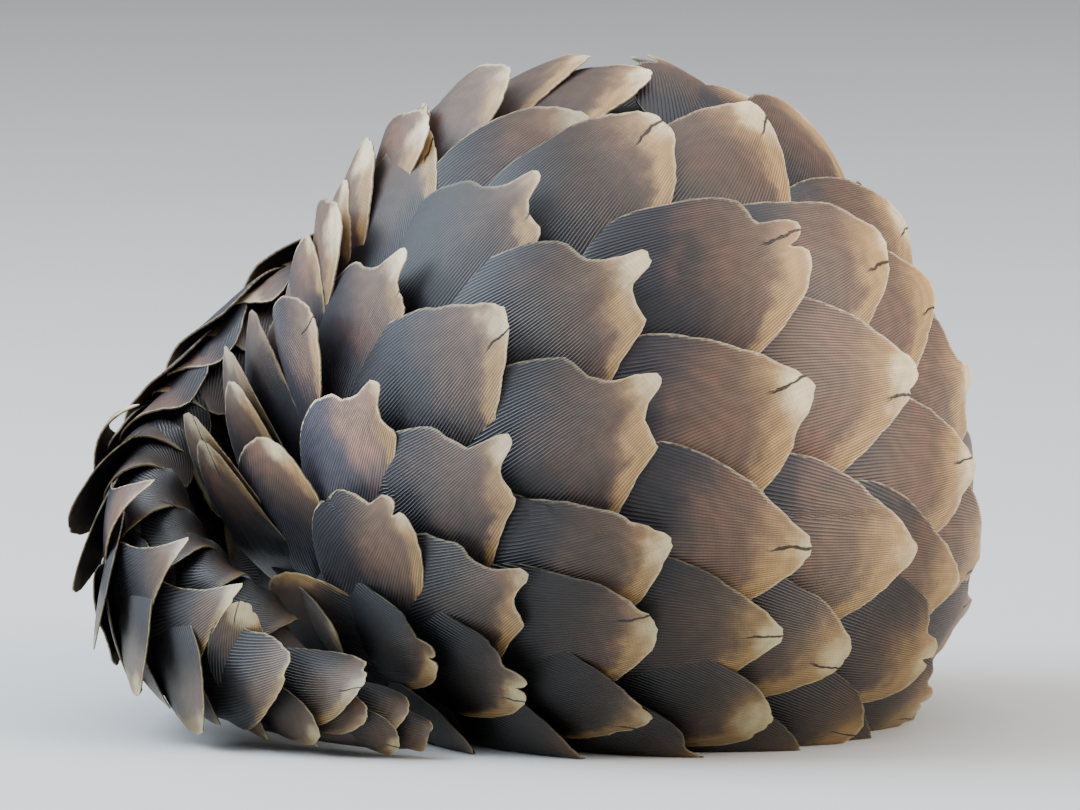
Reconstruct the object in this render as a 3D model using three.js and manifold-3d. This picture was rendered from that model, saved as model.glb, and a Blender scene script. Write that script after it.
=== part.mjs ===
// A ground pangolin rolled into a ball on the ground, life size, millimetres, +Z up.
// It lies on its left side: the back is wound round an upright curl axis, the tail wraps the open side
// of the ball, and the head and legs are tucked into the hollow. Longitude runs round the curl axis from
// the front towards the right. Latitude runs over the back, from the lower flank to the upper flank.

import * as THREE from 'three';
import { mergeVertices } from 'three/addons/utils/BufferGeometryUtils.js';
import Module from 'manifold-3d';

const wasm = await Module();
wasm.setup();

// Place of the curl axis, and how much flatter the ball is from front to back
const AXIS_X = 31.68;
const AXIS_Y = -1.43;
const DEPTH_RATIO = 0.97;

// The rolled trunk: outer radius, radius of the belly hollow, heights of its middle, top and underside
const BALL_RADIUS = 124.5;
const HOLLOW_RADIUS = 54;
const BALL_MIDDLE = 80.6;
const BALL_TOP = 231;
const BALL_LOW = -41;
const POLE_RADIUS = 4;
const HOLLOW_SHARE = 0.6;
const FLANK_BLEND = 20;
const INNER_SIDE = -1e-9;

// The flank is pressed flat where it bears on the ground
const GROUND_BLEND = 10;
const GROUND_SINK = 0.4;

// Gap between neighbouring nodes, and half of it at a joint plane
const NODE_GAP = 0.3;
const HALF_GAP = NODE_GAP / 2;

// The trunk and the tail at a few longitudes: radii of the back, belly and flank edge, heights, and the
// height of the belly side as a share of the height of the back
const trunkAt = (at, outer, inner, flank, top, middle, low, hollow = 1) => (
  { at, outer, inner, flank, top, middle, low, hollow });
const TRUNK = [
  trunkAt(-106, 106, 58, 80, 106, 62, 16),
  trunkAt(-94, 107, 58, 50, 166, 76, -2, 0.85),
  trunkAt(-80, 119, 55, 12, 218, BALL_MIDDLE, -36, HOLLOW_SHARE),
  trunkAt(-64, BALL_RADIUS, HOLLOW_RADIUS, POLE_RADIUS, BALL_TOP, BALL_MIDDLE, BALL_LOW, HOLLOW_SHARE),
  trunkAt(150, BALL_RADIUS, HOLLOW_RADIUS, POLE_RADIUS, BALL_TOP, BALL_MIDDLE, BALL_LOW, HOLLOW_SHARE),
  trunkAt(180, 127, 54, 24, 221, 92, -26, 0.7),
  trunkAt(205, 134, 70, 98, 182, 103, 24),
];
const TAIL = [
  trunkAt(205, 134, 70, 98, 182, 103, 24),
  trunkAt(220, 150, 98, 123, 176, 101, 26),
  trunkAt(236, 166, 122, 144, 158, 94, 30),
  trunkAt(250, 181, 143, 161, 128, 80, 32),
  trunkAt(265, 189, 158, 173, 103, 64, 25),
  trunkAt(280, 187, 159, 172, 87, 51, 15),
  trunkAt(291, 178, 153, 165, 70, 40, 10),
  trunkAt(303, 164, 142, 152, 53, 29, 5),
  trunkAt(312, 153, 134, 143, 33, 18, 3),
  trunkAt(322, 142, 128, 135, 20, 11, 2),
  trunkAt(327, 135, 128, 131.5, 12, 8, 3),
];

const rad = THREE.MathUtils.degToRad;
const { clamp, lerp } = THREE.MathUtils;

// Seeded draws, so that the scutes vary in the same way each time
const DRAW_FACTOR = 16807;
const DRAW_RANGE = 2147483647;
let seed = 7;
function draw() {
  seed = (seed * DRAW_FACTOR) % DRAW_RANGE;
  return seed / DRAW_RANGE;
}
const spread = (width) => width * (draw() - 0.5);
const vary = (amount) => 1 + amount * (2 * draw() - 1);

// Body surface

// How far past its end a table may be followed, as a share of its last span
const PAST_END = 0.6;

function stationAt(table, at) {
  let i = 0;
  while (i < table.length - 2 && at > table[i + 1].at) i += 1;
  const a = table[i];
  const b = table[i + 1];
  const before = table[Math.max(i - 1, 0)];
  const after = table[Math.min(i + 2, table.length - 1)];
  const span = b.at - a.at;
  const t = clamp((at - a.at) / span, -PAST_END, 1 + PAST_END);
  const out = {};
  for (const key of Object.keys(a)) {
    const slopeA = (b[key] - before[key]) / (b.at - before.at);
    const slopeB = (after[key] - a[key]) / (after.at - a.at);
    out[key] = (2 * t ** 3 - 3 * t ** 2 + 1) * a[key] + (t ** 3 - 2 * t ** 2 + t) * span * slopeA
      + (3 * t ** 2 - 2 * t ** 3) * b[key] + (t ** 3 - t ** 2) * span * slopeB;
  }
  return out;
}

// Height after the ground has pressed the underside flat, never below the ground
function pressed(z) {
  if (z > GROUND_BLEND) return z;
  const bent = GROUND_BLEND * Math.exp((z - GROUND_BLEND) / GROUND_BLEND);
  return Math.max(0, bent - GROUND_SINK * (1 - z / GROUND_BLEND));
}

function sectionPoint(table, longitude, latitude, grow) {
  const s = stationAt(table, longitude);
  const side = Math.cos(rad(latitude));
  const rise = Math.sin(rad(latitude));
  const flank = s.flank - grow;
  const back = s.outer + grow - flank;
  const belly = s.inner - grow - flank;
  const radius = flank + (side > 0 ? back * side : -belly * side);
  const tall = rise > 0 ? s.top - s.middle : s.middle - s.low;
  const outward = clamp((s.flank - s.inner) / FLANK_BLEND, -1, 1);
  const reach = side < INNER_SIDE ? tall * s.hollow + outward * grow : tall + grow;
  return new THREE.Vector2(radius, s.middle + reach * rise);
}

function around(longitude, radius, z) {
  return new THREE.Vector3(
    AXIS_X + radius * Math.sin(rad(longitude)),
    AXIS_Y - radius * Math.cos(rad(longitude)) * DEPTH_RATIO,
    z,
  );
}

function curlSurface(table) {
  return (longitude, latitude) => {
    const p = sectionPoint(table, longitude, latitude, 0);
    return around(longitude, p.x, p.y);
  };
}

// The top of the ball by its angles from the pole, to the right and to the back
function crownSurface(right, back) {
  return new THREE.Vector3(
    AXIS_X + BALL_RADIUS * Math.sin(rad(right)) * Math.cos(rad(back)),
    AXIS_Y + BALL_RADIUS * DEPTH_RATIO * Math.sin(rad(back)),
    BALL_MIDDLE + (BALL_TOP - BALL_MIDDLE) * Math.cos(rad(right)) * Math.cos(rad(back)),
  );
}

// Solids

const MERGE_DISTANCE = 1e-4;

function toSolid(geometry) {
  geometry.deleteAttribute('normal');
  geometry.deleteAttribute('uv');
  const merged = mergeVertices(geometry, MERGE_DISTANCE);
  return new wasm.Manifold(new wasm.Mesh({
    numProp: 3,
    vertProperties: new Float32Array(merged.attributes.position.array),
    triVerts: new Uint32Array(merged.index.array),
  }));
}

function fromTriangles(triangles) {
  const position = [];
  for (const p of triangles) position.push(p.x, p.y, p.z);
  const geometry = new THREE.BufferGeometry();
  geometry.setAttribute('position', new THREE.Float32BufferAttribute(position, 3));
  return geometry;
}

// A closed body through rings of points, each ring given with its flat outline for the end caps
function loft(rings) {
  const triangles = [];
  const count = rings[0].points.length;
  for (let i = 0; i < rings.length - 1; i += 1) {
    const a = rings[i].points;
    const b = rings[i + 1].points;
    for (let j = 0; j < count; j += 1) {
      const k = (j + 1) % count;
      triangles.push(a[j], b[j], b[k], a[j], b[k], a[k]);
    }
  }
  const last = rings[rings.length - 1];
  for (const [i, j, k] of THREE.ShapeUtils.triangulateShape(rings[0].outline, [])) {
    triangles.push(rings[0].points[i], rings[0].points[j], rings[0].points[k]);
  }
  for (const [i, j, k] of THREE.ShapeUtils.triangulateShape(last.outline, [])) {
    triangles.push(last.points[i], last.points[k], last.points[j]);
  }
  return fromTriangles(triangles);
}

const BACK_LATITUDES = [-90, -70, -52, -35, -17, 0, 17, 35, 52, 70, 90];
const BELLY_LATITUDES = [125, 155, 180, 205, 235];
const LENGTH_STEP = 15;

// A length of trunk or tail between two longitudes, drawn in from its joint planes by half a gap
function bodyLength(table, from, to, grow) {
  const steps = Math.max(2, Math.ceil((to - from) / LENGTH_STEP));
  const rings = [];
  for (let i = 0; i <= steps; i += 1) {
    const longitude = lerp(from, to, i / steps);
    const inward = i === 0 ? 1 : i === steps ? -1 : 0;
    const along = new THREE.Vector3(Math.cos(rad(longitude)), Math.sin(rad(longitude)), 0);
    along.multiplyScalar(inward * (HALF_GAP - grow));
    const outline = [...BACK_LATITUDES, ...BELLY_LATITUDES]
      .map((latitude) => sectionPoint(table, longitude, latitude, grow));
    const lower = (z) => pressed(z) - (z < GROUND_BLEND ? grow : 0);
    const points = outline.map((p) => around(longitude, p.x, lower(p.y)).add(along));
    rings.push({ outline, points });
  }
  return toSolid(loft(rings));
}

// A tapered limb through stations: place, half width across the body and half depth
const LIMB_SIDES = 9;
const limbAt = (x, y, z, wide, deep) => ({ place: new THREE.Vector3(AXIS_X + x, AXIS_Y + y, z), wide, deep });

function limbFrame(stations, i) {
  const next = stations[Math.min(i + 1, stations.length - 1)].place;
  const before = stations[Math.max(i - 1, 0)].place;
  const along = next.clone().sub(before).normalize();
  const side = new THREE.Vector3(0, 0, 1).addScaledVector(along, -along.z).normalize();
  return { along, side, up: new THREE.Vector3().crossVectors(side, along) };
}

function limb(stations, sides = LIMB_SIDES, grow = 0) {
  const rings = stations.map((s, i) => {
    const { along, side, up } = limbFrame(stations, i);
    const outward = i === 0 ? -grow : i === stations.length - 1 ? grow : 0;
    const outline = [];
    const points = [];
    for (let j = 0; j < sides; j += 1) {
      const turn = (2 * Math.PI * j) / sides;
      const p = new THREE.Vector2(Math.cos(turn) * (s.deep + grow), Math.sin(turn) * (s.wide + grow));
      outline.push(p);
      points.push(s.place.clone().addScaledVector(up, p.x).addScaledVector(side, -p.y)
        .addScaledVector(along, outward));
    }
    return { outline, points };
  });
  return toSolid(loft(rings));
}

// A place on a limb: how far along its stations, then across its depth and width as shares of the radius
function onLimb(stations, at, up, side) {
  const i = Math.min(Math.floor(at), stations.length - 2);
  const [a, b] = [stations[i], stations[i + 1]];
  const t = at - i;
  const frame = limbFrame(stations, t < 0.5 ? i : i + 1);
  return a.place.clone().lerp(b.place, t)
    .addScaledVector(frame.up, up * lerp(a.deep, b.deep, t))
    .addScaledVector(frame.side, side * lerp(a.wide, b.wide, t));
}

// An egg-shaped solid at a place, its three radii along a limb's own directions
function egg(place, frame, radii, grow = 0, rings = 5) {
  const geometry = new THREE.SphereGeometry(1, 2 * rings, rings);
  const turn = new THREE.Matrix4().makeBasis(frame.along, frame.side.clone().negate(), frame.up);
  geometry.scale(radii.along + grow, radii.side + grow, radii.up + grow);
  geometry.applyMatrix4(turn);
  geometry.translate(place.x, place.y, place.z);
  return toSolid(geometry);
}

// Scutes

const FINE = 0.25;

function frameAt(surface, longitude, latitude) {
  const place = surface(longitude, latitude);
  const east = surface(longitude + FINE, latitude).sub(surface(longitude - FINE, latitude))
    .divideScalar(2 * FINE);
  const north = surface(longitude, latitude + FINE).sub(surface(longitude, latitude - FINE))
    .divideScalar(2 * FINE);
  const normal = new THREE.Vector3().crossVectors(east, north).normalize();
  return { longitude, latitude, place, east, north, normal };
}

// Walks over the surface from a frame, keeping to one heading, and returns the frame and heading there
function walk(surface, start, heading, distance, steps) {
  let frame = start;
  const ahead = heading.clone();
  for (let i = 0; i < steps; i += 1) {
    const ee = frame.east.dot(frame.east);
    const nn = frame.north.dot(frame.north);
    const en = frame.east.dot(frame.north);
    const de = ahead.dot(frame.east);
    const dn = ahead.dot(frame.north);
    const scale = distance / steps / (ee * nn - en * en);
    frame = frameAt(
      surface,
      frame.longitude + scale * (de * nn - dn * en),
      frame.latitude + scale * (dn * ee - de * en),
    );
    ahead.addScaledVector(frame.normal, -ahead.dot(frame.normal)).normalize();
  }
  return { frame, ahead };
}

// Half widths of a scute on its horn side and its plain side, from the root to the tip
const SCUTE_ROWS = [
  { along: 0.12, left: 0.5, right: 0.5 },
  { along: 0.5, left: 0.96, right: 1 },
  { along: 0.8, left: 0.82, right: 0.66 },
  { along: 1, left: 0.44, right: -0.16 },
];
const SMALL_SCUTE_ROWS = [SCUTE_ROWS[0], { along: 0.64, left: 0.98, right: 0.9 }, SCUTE_ROWS[3]];
const WALK_STEPS = 3;
const SCUTE_THICKNESS = 2.2;
const TIP_THICKNESS = 1.6;
const SCUTE_ROLL = 2.6;

// The middle of each plate: rows from the root to the tip, columns from right to left
function scuteGrid(surface, spec) {
  const tip = frameAt(surface, spec.longitude, spec.latitude);
  const east = tip.east.clone().normalize();
  const north = new THREE.Vector3().crossVectors(tip.normal, east);
  const heading = east.multiplyScalar(Math.cos(rad(spec.heading)))
    .addScaledVector(north, Math.sin(rad(spec.heading)));
  const half = spec.width / 2;
  const rows = spec.small ? SMALL_SCUTE_ROWS : SCUTE_ROWS;
  return rows.map((row) => {
    const middle = walk(surface, tip, heading, -(1 - row.along) * spec.length, WALK_STEPS);
    const left = new THREE.Vector3().crossVectors(middle.frame.normal, middle.ahead);
    const height = lerp(-spec.sink, spec.lift, row.along);
    const thickness = lerp(SCUTE_THICKNESS, TIP_THICKNESS, row.along);
    return [-row.right, (row.left - row.right) / 2, row.left].map((share) => {
      const { frame } = walk(surface, middle.frame, left, share * half, 2);
      const normal = middle.frame.normal.clone().lerp(frame.normal, spec.wrap).normalize();
      const place = middle.frame.place.clone().addScaledVector(left, share * half)
        .lerp(frame.place, spec.wrap)
        .addScaledVector(normal, height + share * SCUTE_ROLL);
      return { place, normal, thickness };
    });
  });
}

// One scute: its tip stands over a point of the surface, its root is sunk in the body
function scute(surface, spec, grow = 0) {
  const grid = scuteGrid(surface, spec);
  const lastRow = grid.length - 1;
  const outward = (from, to) => to.place.clone().sub(from.place).normalize().multiplyScalar(grow);
  const face = (sign) => grid.map((row, k) => row.map((point, c) => {
    const place = point.place.clone();
    if (c !== 1) place.add(outward(row[1], point));
    if (k === 0) place.add(outward(grid[1][c], point));
    if (k === lastRow) place.add(outward(grid[lastRow - 1][c], point));
    return place.addScaledVector(point.normal, sign * (point.thickness / 2 + grow));
  }));
  return toSolid(fromTriangles(plateTriangles(face(1), face(-1))));
}

// Both faces of a plate, split alike, and the wall round its edge
function plateTriangles(top, bottom) {
  const triangles = [];
  const lastRow = top.length - 1;
  const lastColumn = top[0].length - 1;
  for (let k = 0; k < lastRow; k += 1) {
    for (let c = 0; c < lastColumn; c += 1) {
      triangles.push(top[k][c], top[k + 1][c], top[k + 1][c + 1]);
      triangles.push(top[k][c], top[k + 1][c + 1], top[k][c + 1]);
      triangles.push(bottom[k][c], bottom[k + 1][c + 1], bottom[k + 1][c]);
      triangles.push(bottom[k][c], bottom[k][c + 1], bottom[k + 1][c + 1]);
    }
  }
  const wall = (a, b, c, d) => triangles.push(a, b, c, a, c, d);
  for (let k = 0; k < lastRow; k += 1) {
    wall(bottom[k][0], bottom[k + 1][0], top[k + 1][0], top[k][0]);
    wall(bottom[k + 1][lastColumn], bottom[k][lastColumn], top[k][lastColumn], top[k + 1][lastColumn]);
  }
  for (let c = 0; c < lastColumn; c += 1) {
    wall(bottom[0][c + 1], bottom[0][c], top[0][c], top[0][c + 1]);
    wall(bottom[lastRow][c], bottom[lastRow][c + 1], top[lastRow][c + 1], top[lastRow][c]);
  }
  return triangles;
}

// The quincunx of scutes on the trunk. Rows run along the body; each starts at the front and goes both ways
const RING_START = 7.5;
const ROWS = [
  { latitude: 62, start: 15, pitch: 41, backPitch: 31, frontPitch: 26.5, length: 84, width: 58, dip: 0 },
  { latitude: 40.8, start: 7.5, pitch: 27, backPitch: 29, frontPitch: 25, length: 90, width: 64, dip: 0 },
  { latitude: 21.2, start: 7.5, pitch: 24.5, backPitch: 26, frontPitch: 23.5, length: 92, width: 68, dip: 0 },
  { latitude: 3.2, start: 8.5, pitch: 22.5, backPitch: 26, frontPitch: 19.5, length: 86, width: 62, dip: 1 },
  { latitude: -13.2, start: 6.6, pitch: 20.5, backPitch: 26, frontPitch: 20, length: 78, width: 54, dip: 1 },
  { latitude: -30, start: 6.5, pitch: 23, backPitch: 26, frontPitch: 21, length: 60, width: 44, dip: 1 },
];
const TRUNK_FIRST = -84;
const BACK_START = 60;
const TRUNK_LAST = 214;
const SCUTE_LIFT = 14;
const ROOT_SINK = 5;
const VARIED = { longitude: 2.5, latitude: 2, heading: 8, length: 0.06, width: 0.07 };
const NARROWEST = 0.55;
const LENGTH_KEPT = 0.4;
const NECKWARD = { from: -66, over: 30, length: 0.66, width: 0.86 };
const LOWEST_LATITUDE = -41;

// Scutes of the shoulder that stand away from the body in the crevice beside the tail
const blade = (longitude, latitude, heading, length, width, lift) => (
  { longitude, latitude, heading, length, width, lift });
const BLADES = [
  blade(-86, 4, 98, 66, 34, 34),
  blade(-84, 24, 96, 78, 34, 42),
  blade(-90, 40, 92, 74, 32, 34),
  blade(-77, 44, 86, 78, 34, 28),
  blade(-84, 60, 84, 70, 32, 24),
];
const BLADE_WRAP = 0.5;

// Scutes round the upper pole of the ball: angles from the pole to the right and to the back
const CROWN = [
  blade(-29, -15, 38, 78, 50, 15),
  blade(-16, -5, 20, 82, 52, 15),
  blade(-15, -19, 30, 80, 54, 14),
  blade(-3, -1, 12, 84, 52, 15),
  blade(6, -11, 16, 82, 54, 13),
  blade(12, 8, 48, 64, 50, 9),
  blade(23, 5, 84, 62, 50, 11),
  blade(9, 20, 148, 62, 50, 11),
  blade(-15, 19, 200, 62, 48, 11),
];

// The rows sink towards the neck on the left, the lower rows more, and a little towards the tail behind
const SINK = { slope: 0.34, bend: 0.0011, dip: 0.0065, back: 0.05, backStart: 50 };
function rowShift(longitude, dip) {
  const left = Math.max(0, RING_START - longitude);
  const right = Math.max(0, longitude - SINK.backStart);
  return -(SINK.slope * left + (SINK.bend + SINK.dip * dip) * left ** 2) - SINK.back * right;
}

// The way that the tips point, in degrees from east towards north, by longitude. The turn fades out
// towards the lower flank, grows towards the pole, and fans out round the neck
const HEADINGS = [[-64, 60], [-40, 44], [-16, 42], [8, 33], [32, 15], [56, 7], [220, 5]];
const LOW_FLANK = { from: -27, over: 40 };
const HIGH_FLANK = { from: 45, over: 20, turn: 14 };
const NECK_FAN = { from: -42, over: 18, least: 50, most: 140, latitude: 26, rate: 3.4 };
function headingAt(longitude, latitude) {
  const last = HEADINGS.length - 1;
  let i = 0;
  while (i < last - 1 && longitude > HEADINGS[i + 1][0]) i += 1;
  const [a, b] = [HEADINGS[i], HEADINGS[i + 1]];
  const t = clamp((longitude - a[0]) / (b[0] - a[0]), 0, 1);
  const low = clamp((latitude - LOW_FLANK.from) / LOW_FLANK.over, 0, 1);
  const high = clamp((latitude - HIGH_FLANK.from) / HIGH_FLANK.over, 0, 1) * HIGH_FLANK.turn;
  const main = lerp(a[1], b[1], t) * low + high;
  const rise = NECK_FAN.least + (NECK_FAN.latitude - latitude) * NECK_FAN.rate;
  const fan = clamp(rise, NECK_FAN.least, NECK_FAN.most);
  return lerp(main, fan, clamp((NECK_FAN.from - longitude) / NECK_FAN.over, 0, 1));
}

function trunkScutes() {
  const specs = BLADES.map((spec) => ({ ...spec, sink: ROOT_SINK, wrap: BLADE_WRAP }));
  for (const row of ROWS) {
    const places = [];
    for (let at = row.start; at < TRUNK_LAST; at += at > BACK_START ? row.backPitch : row.pitch) {
      places.push(at);
    }
    for (let at = row.start - row.frontPitch; at > TRUNK_FIRST; at -= row.frontPitch) places.push(at);
    for (const longitude of places) {
      const latitude = row.latitude + rowShift(longitude, row.dip);
      if (latitude < LOWEST_LATITUDE) continue;
      const s = stationAt(TRUNK, Math.min(longitude, TRUNK[TRUNK.length - 1].at));
      const narrow = clamp((s.top - s.low) / (BALL_TOP - BALL_LOW), NARROWEST, 1);
      const neckward = clamp((longitude - NECKWARD.from) / NECKWARD.over, 0, 1);
      const shorter = lerp(narrow, 1, LENGTH_KEPT) * lerp(NECKWARD.length, 1, neckward);
      specs.push({
        longitude: longitude + spread(VARIED.longitude),
        latitude: latitude + spread(VARIED.latitude),
        heading: headingAt(longitude, latitude) + spread(VARIED.heading),
        length: row.length * vary(VARIED.length) * shorter,
        width: row.width * vary(VARIED.width) * narrow * lerp(NECKWARD.width, 1, neckward),
        lift: SCUTE_LIFT,
        sink: ROOT_SINK,
        wrap: 1,
      });
    }
  }
  return specs;
}

// Tail scutes: rings along the tail, rows across its back and its belly face, staggered ring by ring
const TAIL_FIRST = 222;
const TAIL_PITCH = 38;
const TAIL_HALF_HEIGHT = 40;
const TAIL_SIZE = { least: 0.3, most: 1.6 };
const TAIL_WRAP = 0.3;
const TAIL_SINK = 4;
const OUTER_FACE = {
  rows: [[76, 14, -44], [46, -16]], last: 330, heading: 6, length: 68, width: 40, lift: 10,
};
const BELLY_FACE = { rows: [[150], [210]], last: 290, heading: 0, length: 56, width: 44, lift: 6 };

function tailScutes() {
  const specs = [];
  let ring = 0;
  let at = TAIL_FIRST;
  while (at < OUTER_FACE.last) {
    const s = stationAt(TAIL, Math.min(at, TAIL[TAIL.length - 1].at));
    const size = clamp((s.top - s.low) / 2 / TAIL_HALF_HEIGHT, TAIL_SIZE.least, TAIL_SIZE.most);
    for (const face of [OUTER_FACE, BELLY_FACE]) {
      if (at >= face.last) continue;
      for (const latitude of face.rows[ring % 2]) {
        specs.push({
          longitude: at,
          latitude,
          heading: face.heading + spread(VARIED.heading),
          length: face.length * Math.sqrt(size) * vary(VARIED.length),
          width: face.width * size * vary(VARIED.width),
          lift: face.lift,
          sink: TAIL_SINK,
          small: true,
          wrap: TAIL_WRAP,
        });
      }
    }
    at += THREE.MathUtils.radToDeg((TAIL_PITCH * size ** 0.4) / s.outer);
    ring += 1;
  }
  return specs;
}

// Nodes of the trunk and tail, from the shoulders to the tip of the tail. Where the section turns over
// from the hollow ball to the tail, a grown copy alone doesn't hold all of the body

const LENGTHS = [
  { name: 'shoulders', table: TRUNK, from: -106, to: -40 },
  { name: 'upper_back', table: TRUNK, from: -40, to: 12 },
  { name: 'middle_back', table: TRUNK, from: 12, to: 62 },
  { name: 'lower_back', table: TRUNK, from: 62, to: 112 },
  { name: 'loin', table: TRUNK, from: 112, to: 160 },
  { name: 'rump', table: TRUNK, from: 160, to: 205, turns: true },
  { name: 'tail_root', table: TAIL, from: 205, to: 236 },
  { name: 'tail_upper', table: TAIL, from: 236, to: 262 },
  { name: 'tail_middle', table: TAIL, from: 262, to: 286 },
  { name: 'tail_lower', table: TAIL, from: 286, to: 308 },
  { name: 'tail_tip', table: TAIL, from: 308, to: 327 },
];

// A scute belongs to the length that holds this share of it back from its tip. Longitudes run from the
// lowest one that its family of scutes uses
const ROOT_SHARE = 0.62;
const LOWEST = { trunk: -150, crown: -106, tail: 170 };

function rootLongitude(surface, spec) {
  const tip = frameAt(surface, spec.longitude, spec.latitude);
  const east = tip.east.clone().normalize();
  const north = new THREE.Vector3().crossVectors(tip.normal, east);
  const heading = east.multiplyScalar(Math.cos(rad(spec.heading)))
    .addScaledVector(north, Math.sin(rad(spec.heading)));
  const { place } = walk(surface, tip, heading, -ROOT_SHARE * spec.length, WALK_STEPS).frame;
  const longitude = THREE.MathUtils.radToDeg(
    Math.atan2(place.x - AXIS_X, (AXIS_Y - place.y) / DEPTH_RATIO));
  return longitude < spec.from ? longitude + 360 : longitude;
}

const SKIN = {
  scute: { color: 0x6b5a48, roughness: 0.6, metalness: 0 },
  flesh: { color: 0x9a8578, roughness: 0.8, metalness: 0 },
  claw: { color: 0xb8a684, roughness: 0.5, metalness: 0 },
  eye: { color: 0x16110e, roughness: 0.15, metalness: 0 },
};

const nodes = [];

function addLengths() {
  const families = new Map([
    [TRUNK, [
      ...trunkScutes().map((spec) => ({ ...spec, surface: curlSurface(TRUNK), from: LOWEST.trunk })),
      ...CROWN.map((spec) => ({
        ...spec, surface: crownSurface, sink: ROOT_SINK, wrap: 1, from: LOWEST.crown,
      })),
    ]],
    [TAIL, tailScutes().map((spec) => ({ ...spec, surface: curlSurface(TAIL), from: LOWEST.tail }))],
  ]);
  for (const length of LENGTHS) {
    const family = LENGTHS.filter((l) => l.table === length.table);
    const first = family[0] === length;
    const last = family[family.length - 1] === length;
    const own = families.get(length.table).filter((spec) => {
      const root = rootLongitude(spec.surface, spec);
      return (first || root >= length.from) && (last || root < length.to);
    });
    const cores = (grow) => (length.turns && grow > 0 ? [0, grow] : [grow]);
    const shape = (grow) => wasm.Manifold.union([
      ...cores(grow).map((size) => bodyLength(length.table, length.from, length.to, size)),
      ...own.map((spec) => scute(spec.surface, spec, grow)),
    ]);
    addNode(length.name, shape, SKIN.scute);
  }
}

// Neck and head, from the shoulders to the tip of the snout

const NECK = [
  limbAt(-82.5, 14, 61, 40, 24),
  limbAt(-82, 26, 61, 35, 23.5),
  limbAt(-78, 38, 60, 30, 23),
];
const HEAD = [
  limbAt(-77.8, 38.3, 60, 29, 23),
  limbAt(-74, 44, 59.5, 28.5, 23),
  limbAt(-66.5, 50.5, 59, 26.5, 21.5),
  limbAt(-56, 55, 58.5, 22.5, 18.5),
  limbAt(-45, 56.5, 58, 17.5, 15),
  limbAt(-34, 55, 57.5, 13, 11.5),
  limbAt(-25, 51.5, 57, 9.5, 8.5),
  limbAt(-19.5, 48, 56.5, 6.5, 6),
  limbAt(-17, 45.8, 56.5, 3.2, 3.2),
];
const HEAD_SIDES = 12;
const SIDES = { left: -1, right: 1 };

const EYE = { at: 3.1, up: 0.28, side: 0.86, radius: 4.2 };
const LID_RADIUS = 5.5;
const LID_SLIT = { along: 3.9, side: 4, up: 2.3 };
const EAR = { at: 1.55, up: 0.3, side: 0.9, along: 3.2, out: 4.6, tall: 8.5, cup: 0.66 };
const NOSTRIL = { at: 7.55, up: 0.15, side: 0.62, radius: 1.1 };
const MOUTH = { from: 5.0, up: -0.42, deep: 1.5, line: 0.9, lip: 3.4, lipProud: 0.6 };

const headFrame = (at) => limbFrame(HEAD, Math.round(at));

function eyeShape(side, grow) {
  const place = onLimb(HEAD, EYE.at, EYE.up, EYE.side * SIDES[side]);
  return egg(place, headFrame(EYE.at), { along: EYE.radius, side: EYE.radius, up: EYE.radius }, grow, 5);
}

// The lids are a thicker ball round the eye with an almond slit open to the side
function lids(side) {
  const frame = headFrame(EYE.at);
  const place = onLimb(HEAD, EYE.at, EYE.up, EYE.side * SIDES[side]);
  const ball = egg(place, frame, { along: LID_RADIUS, side: LID_RADIUS, up: LID_RADIUS }, 0, 5);
  const outside = place.clone().addScaledVector(frame.side, SIDES[side] * LID_RADIUS);
  const slit = egg(outside, frame, LID_SLIT, 0, 5);
  return { ball, slit };
}

// A flat slab across the snout at the height of the mouth
function mouthSlab(thickness) {
  const last = HEAD.length - 1;
  const from = onLimb(HEAD, MOUTH.from, MOUTH.up, 0);
  const to = onLimb(HEAD, last, MOUTH.up, 0);
  const along = to.clone().sub(from);
  const reach = along.length() + HEAD[last].deep * 4;
  along.normalize();
  const side = new THREE.Vector3(0, 0, 1).addScaledVector(along, -along.z).normalize();
  const up = new THREE.Vector3().crossVectors(side, along);
  const box = new THREE.BoxGeometry(reach, HEAD[4].wide * 2.4, thickness);
  box.applyMatrix4(new THREE.Matrix4().makeBasis(along, side.clone().negate(), up));
  const middle = from.addScaledVector(along, reach / 2);
  box.translate(middle.x, middle.y, middle.z);
  return toSolid(box);
}

function headShape(grow) {
  const skull = limb(HEAD, HEAD_SIDES, grow);
  if (grow) return skull;
  const lips = mouthSlab(MOUTH.lip).intersect(limb(HEAD, HEAD_SIDES, MOUTH.lipProud));
  const groove = mouthSlab(MOUTH.line).subtract(limb(HEAD, HEAD_SIDES, -MOUTH.deep));
  let solid = skull.add(lips).subtract(groove);
  for (const side of Object.keys(SIDES)) {
    const { ball, slit } = lids(side);
    const hole = egg(
      onLimb(HEAD, NOSTRIL.at, NOSTRIL.up, NOSTRIL.side * SIDES[side]),
      headFrame(7),
      { along: NOSTRIL.radius, side: NOSTRIL.radius, up: NOSTRIL.radius * 1.4 },
    );
    solid = solid.add(ball).subtract(slit).subtract(hole);
  }
  return solid;
}

// A low ear fold with a cup that opens to the back
function earShape(side, grow) {
  const place = onLimb(HEAD, EAR.at, EAR.up, EAR.side * SIDES[side]);
  const frame = headFrame(EAR.at);
  const fold = egg(place, frame, { along: EAR.along, side: EAR.out, up: EAR.tall }, grow);
  const back = place.clone().addScaledVector(frame.along, -EAR.along * EAR.cup)
    .addScaledVector(frame.side, SIDES[side] * EAR.out * 0.5);
  const cup = egg(back, frame, { along: EAR.along * 0.8, side: EAR.out * 0.9, up: EAR.tall * EAR.cup });
  return grow ? fold : fold.subtract(cup);
}

// Legs: the body lies on its left side, so the right legs are the upper pair

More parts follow.
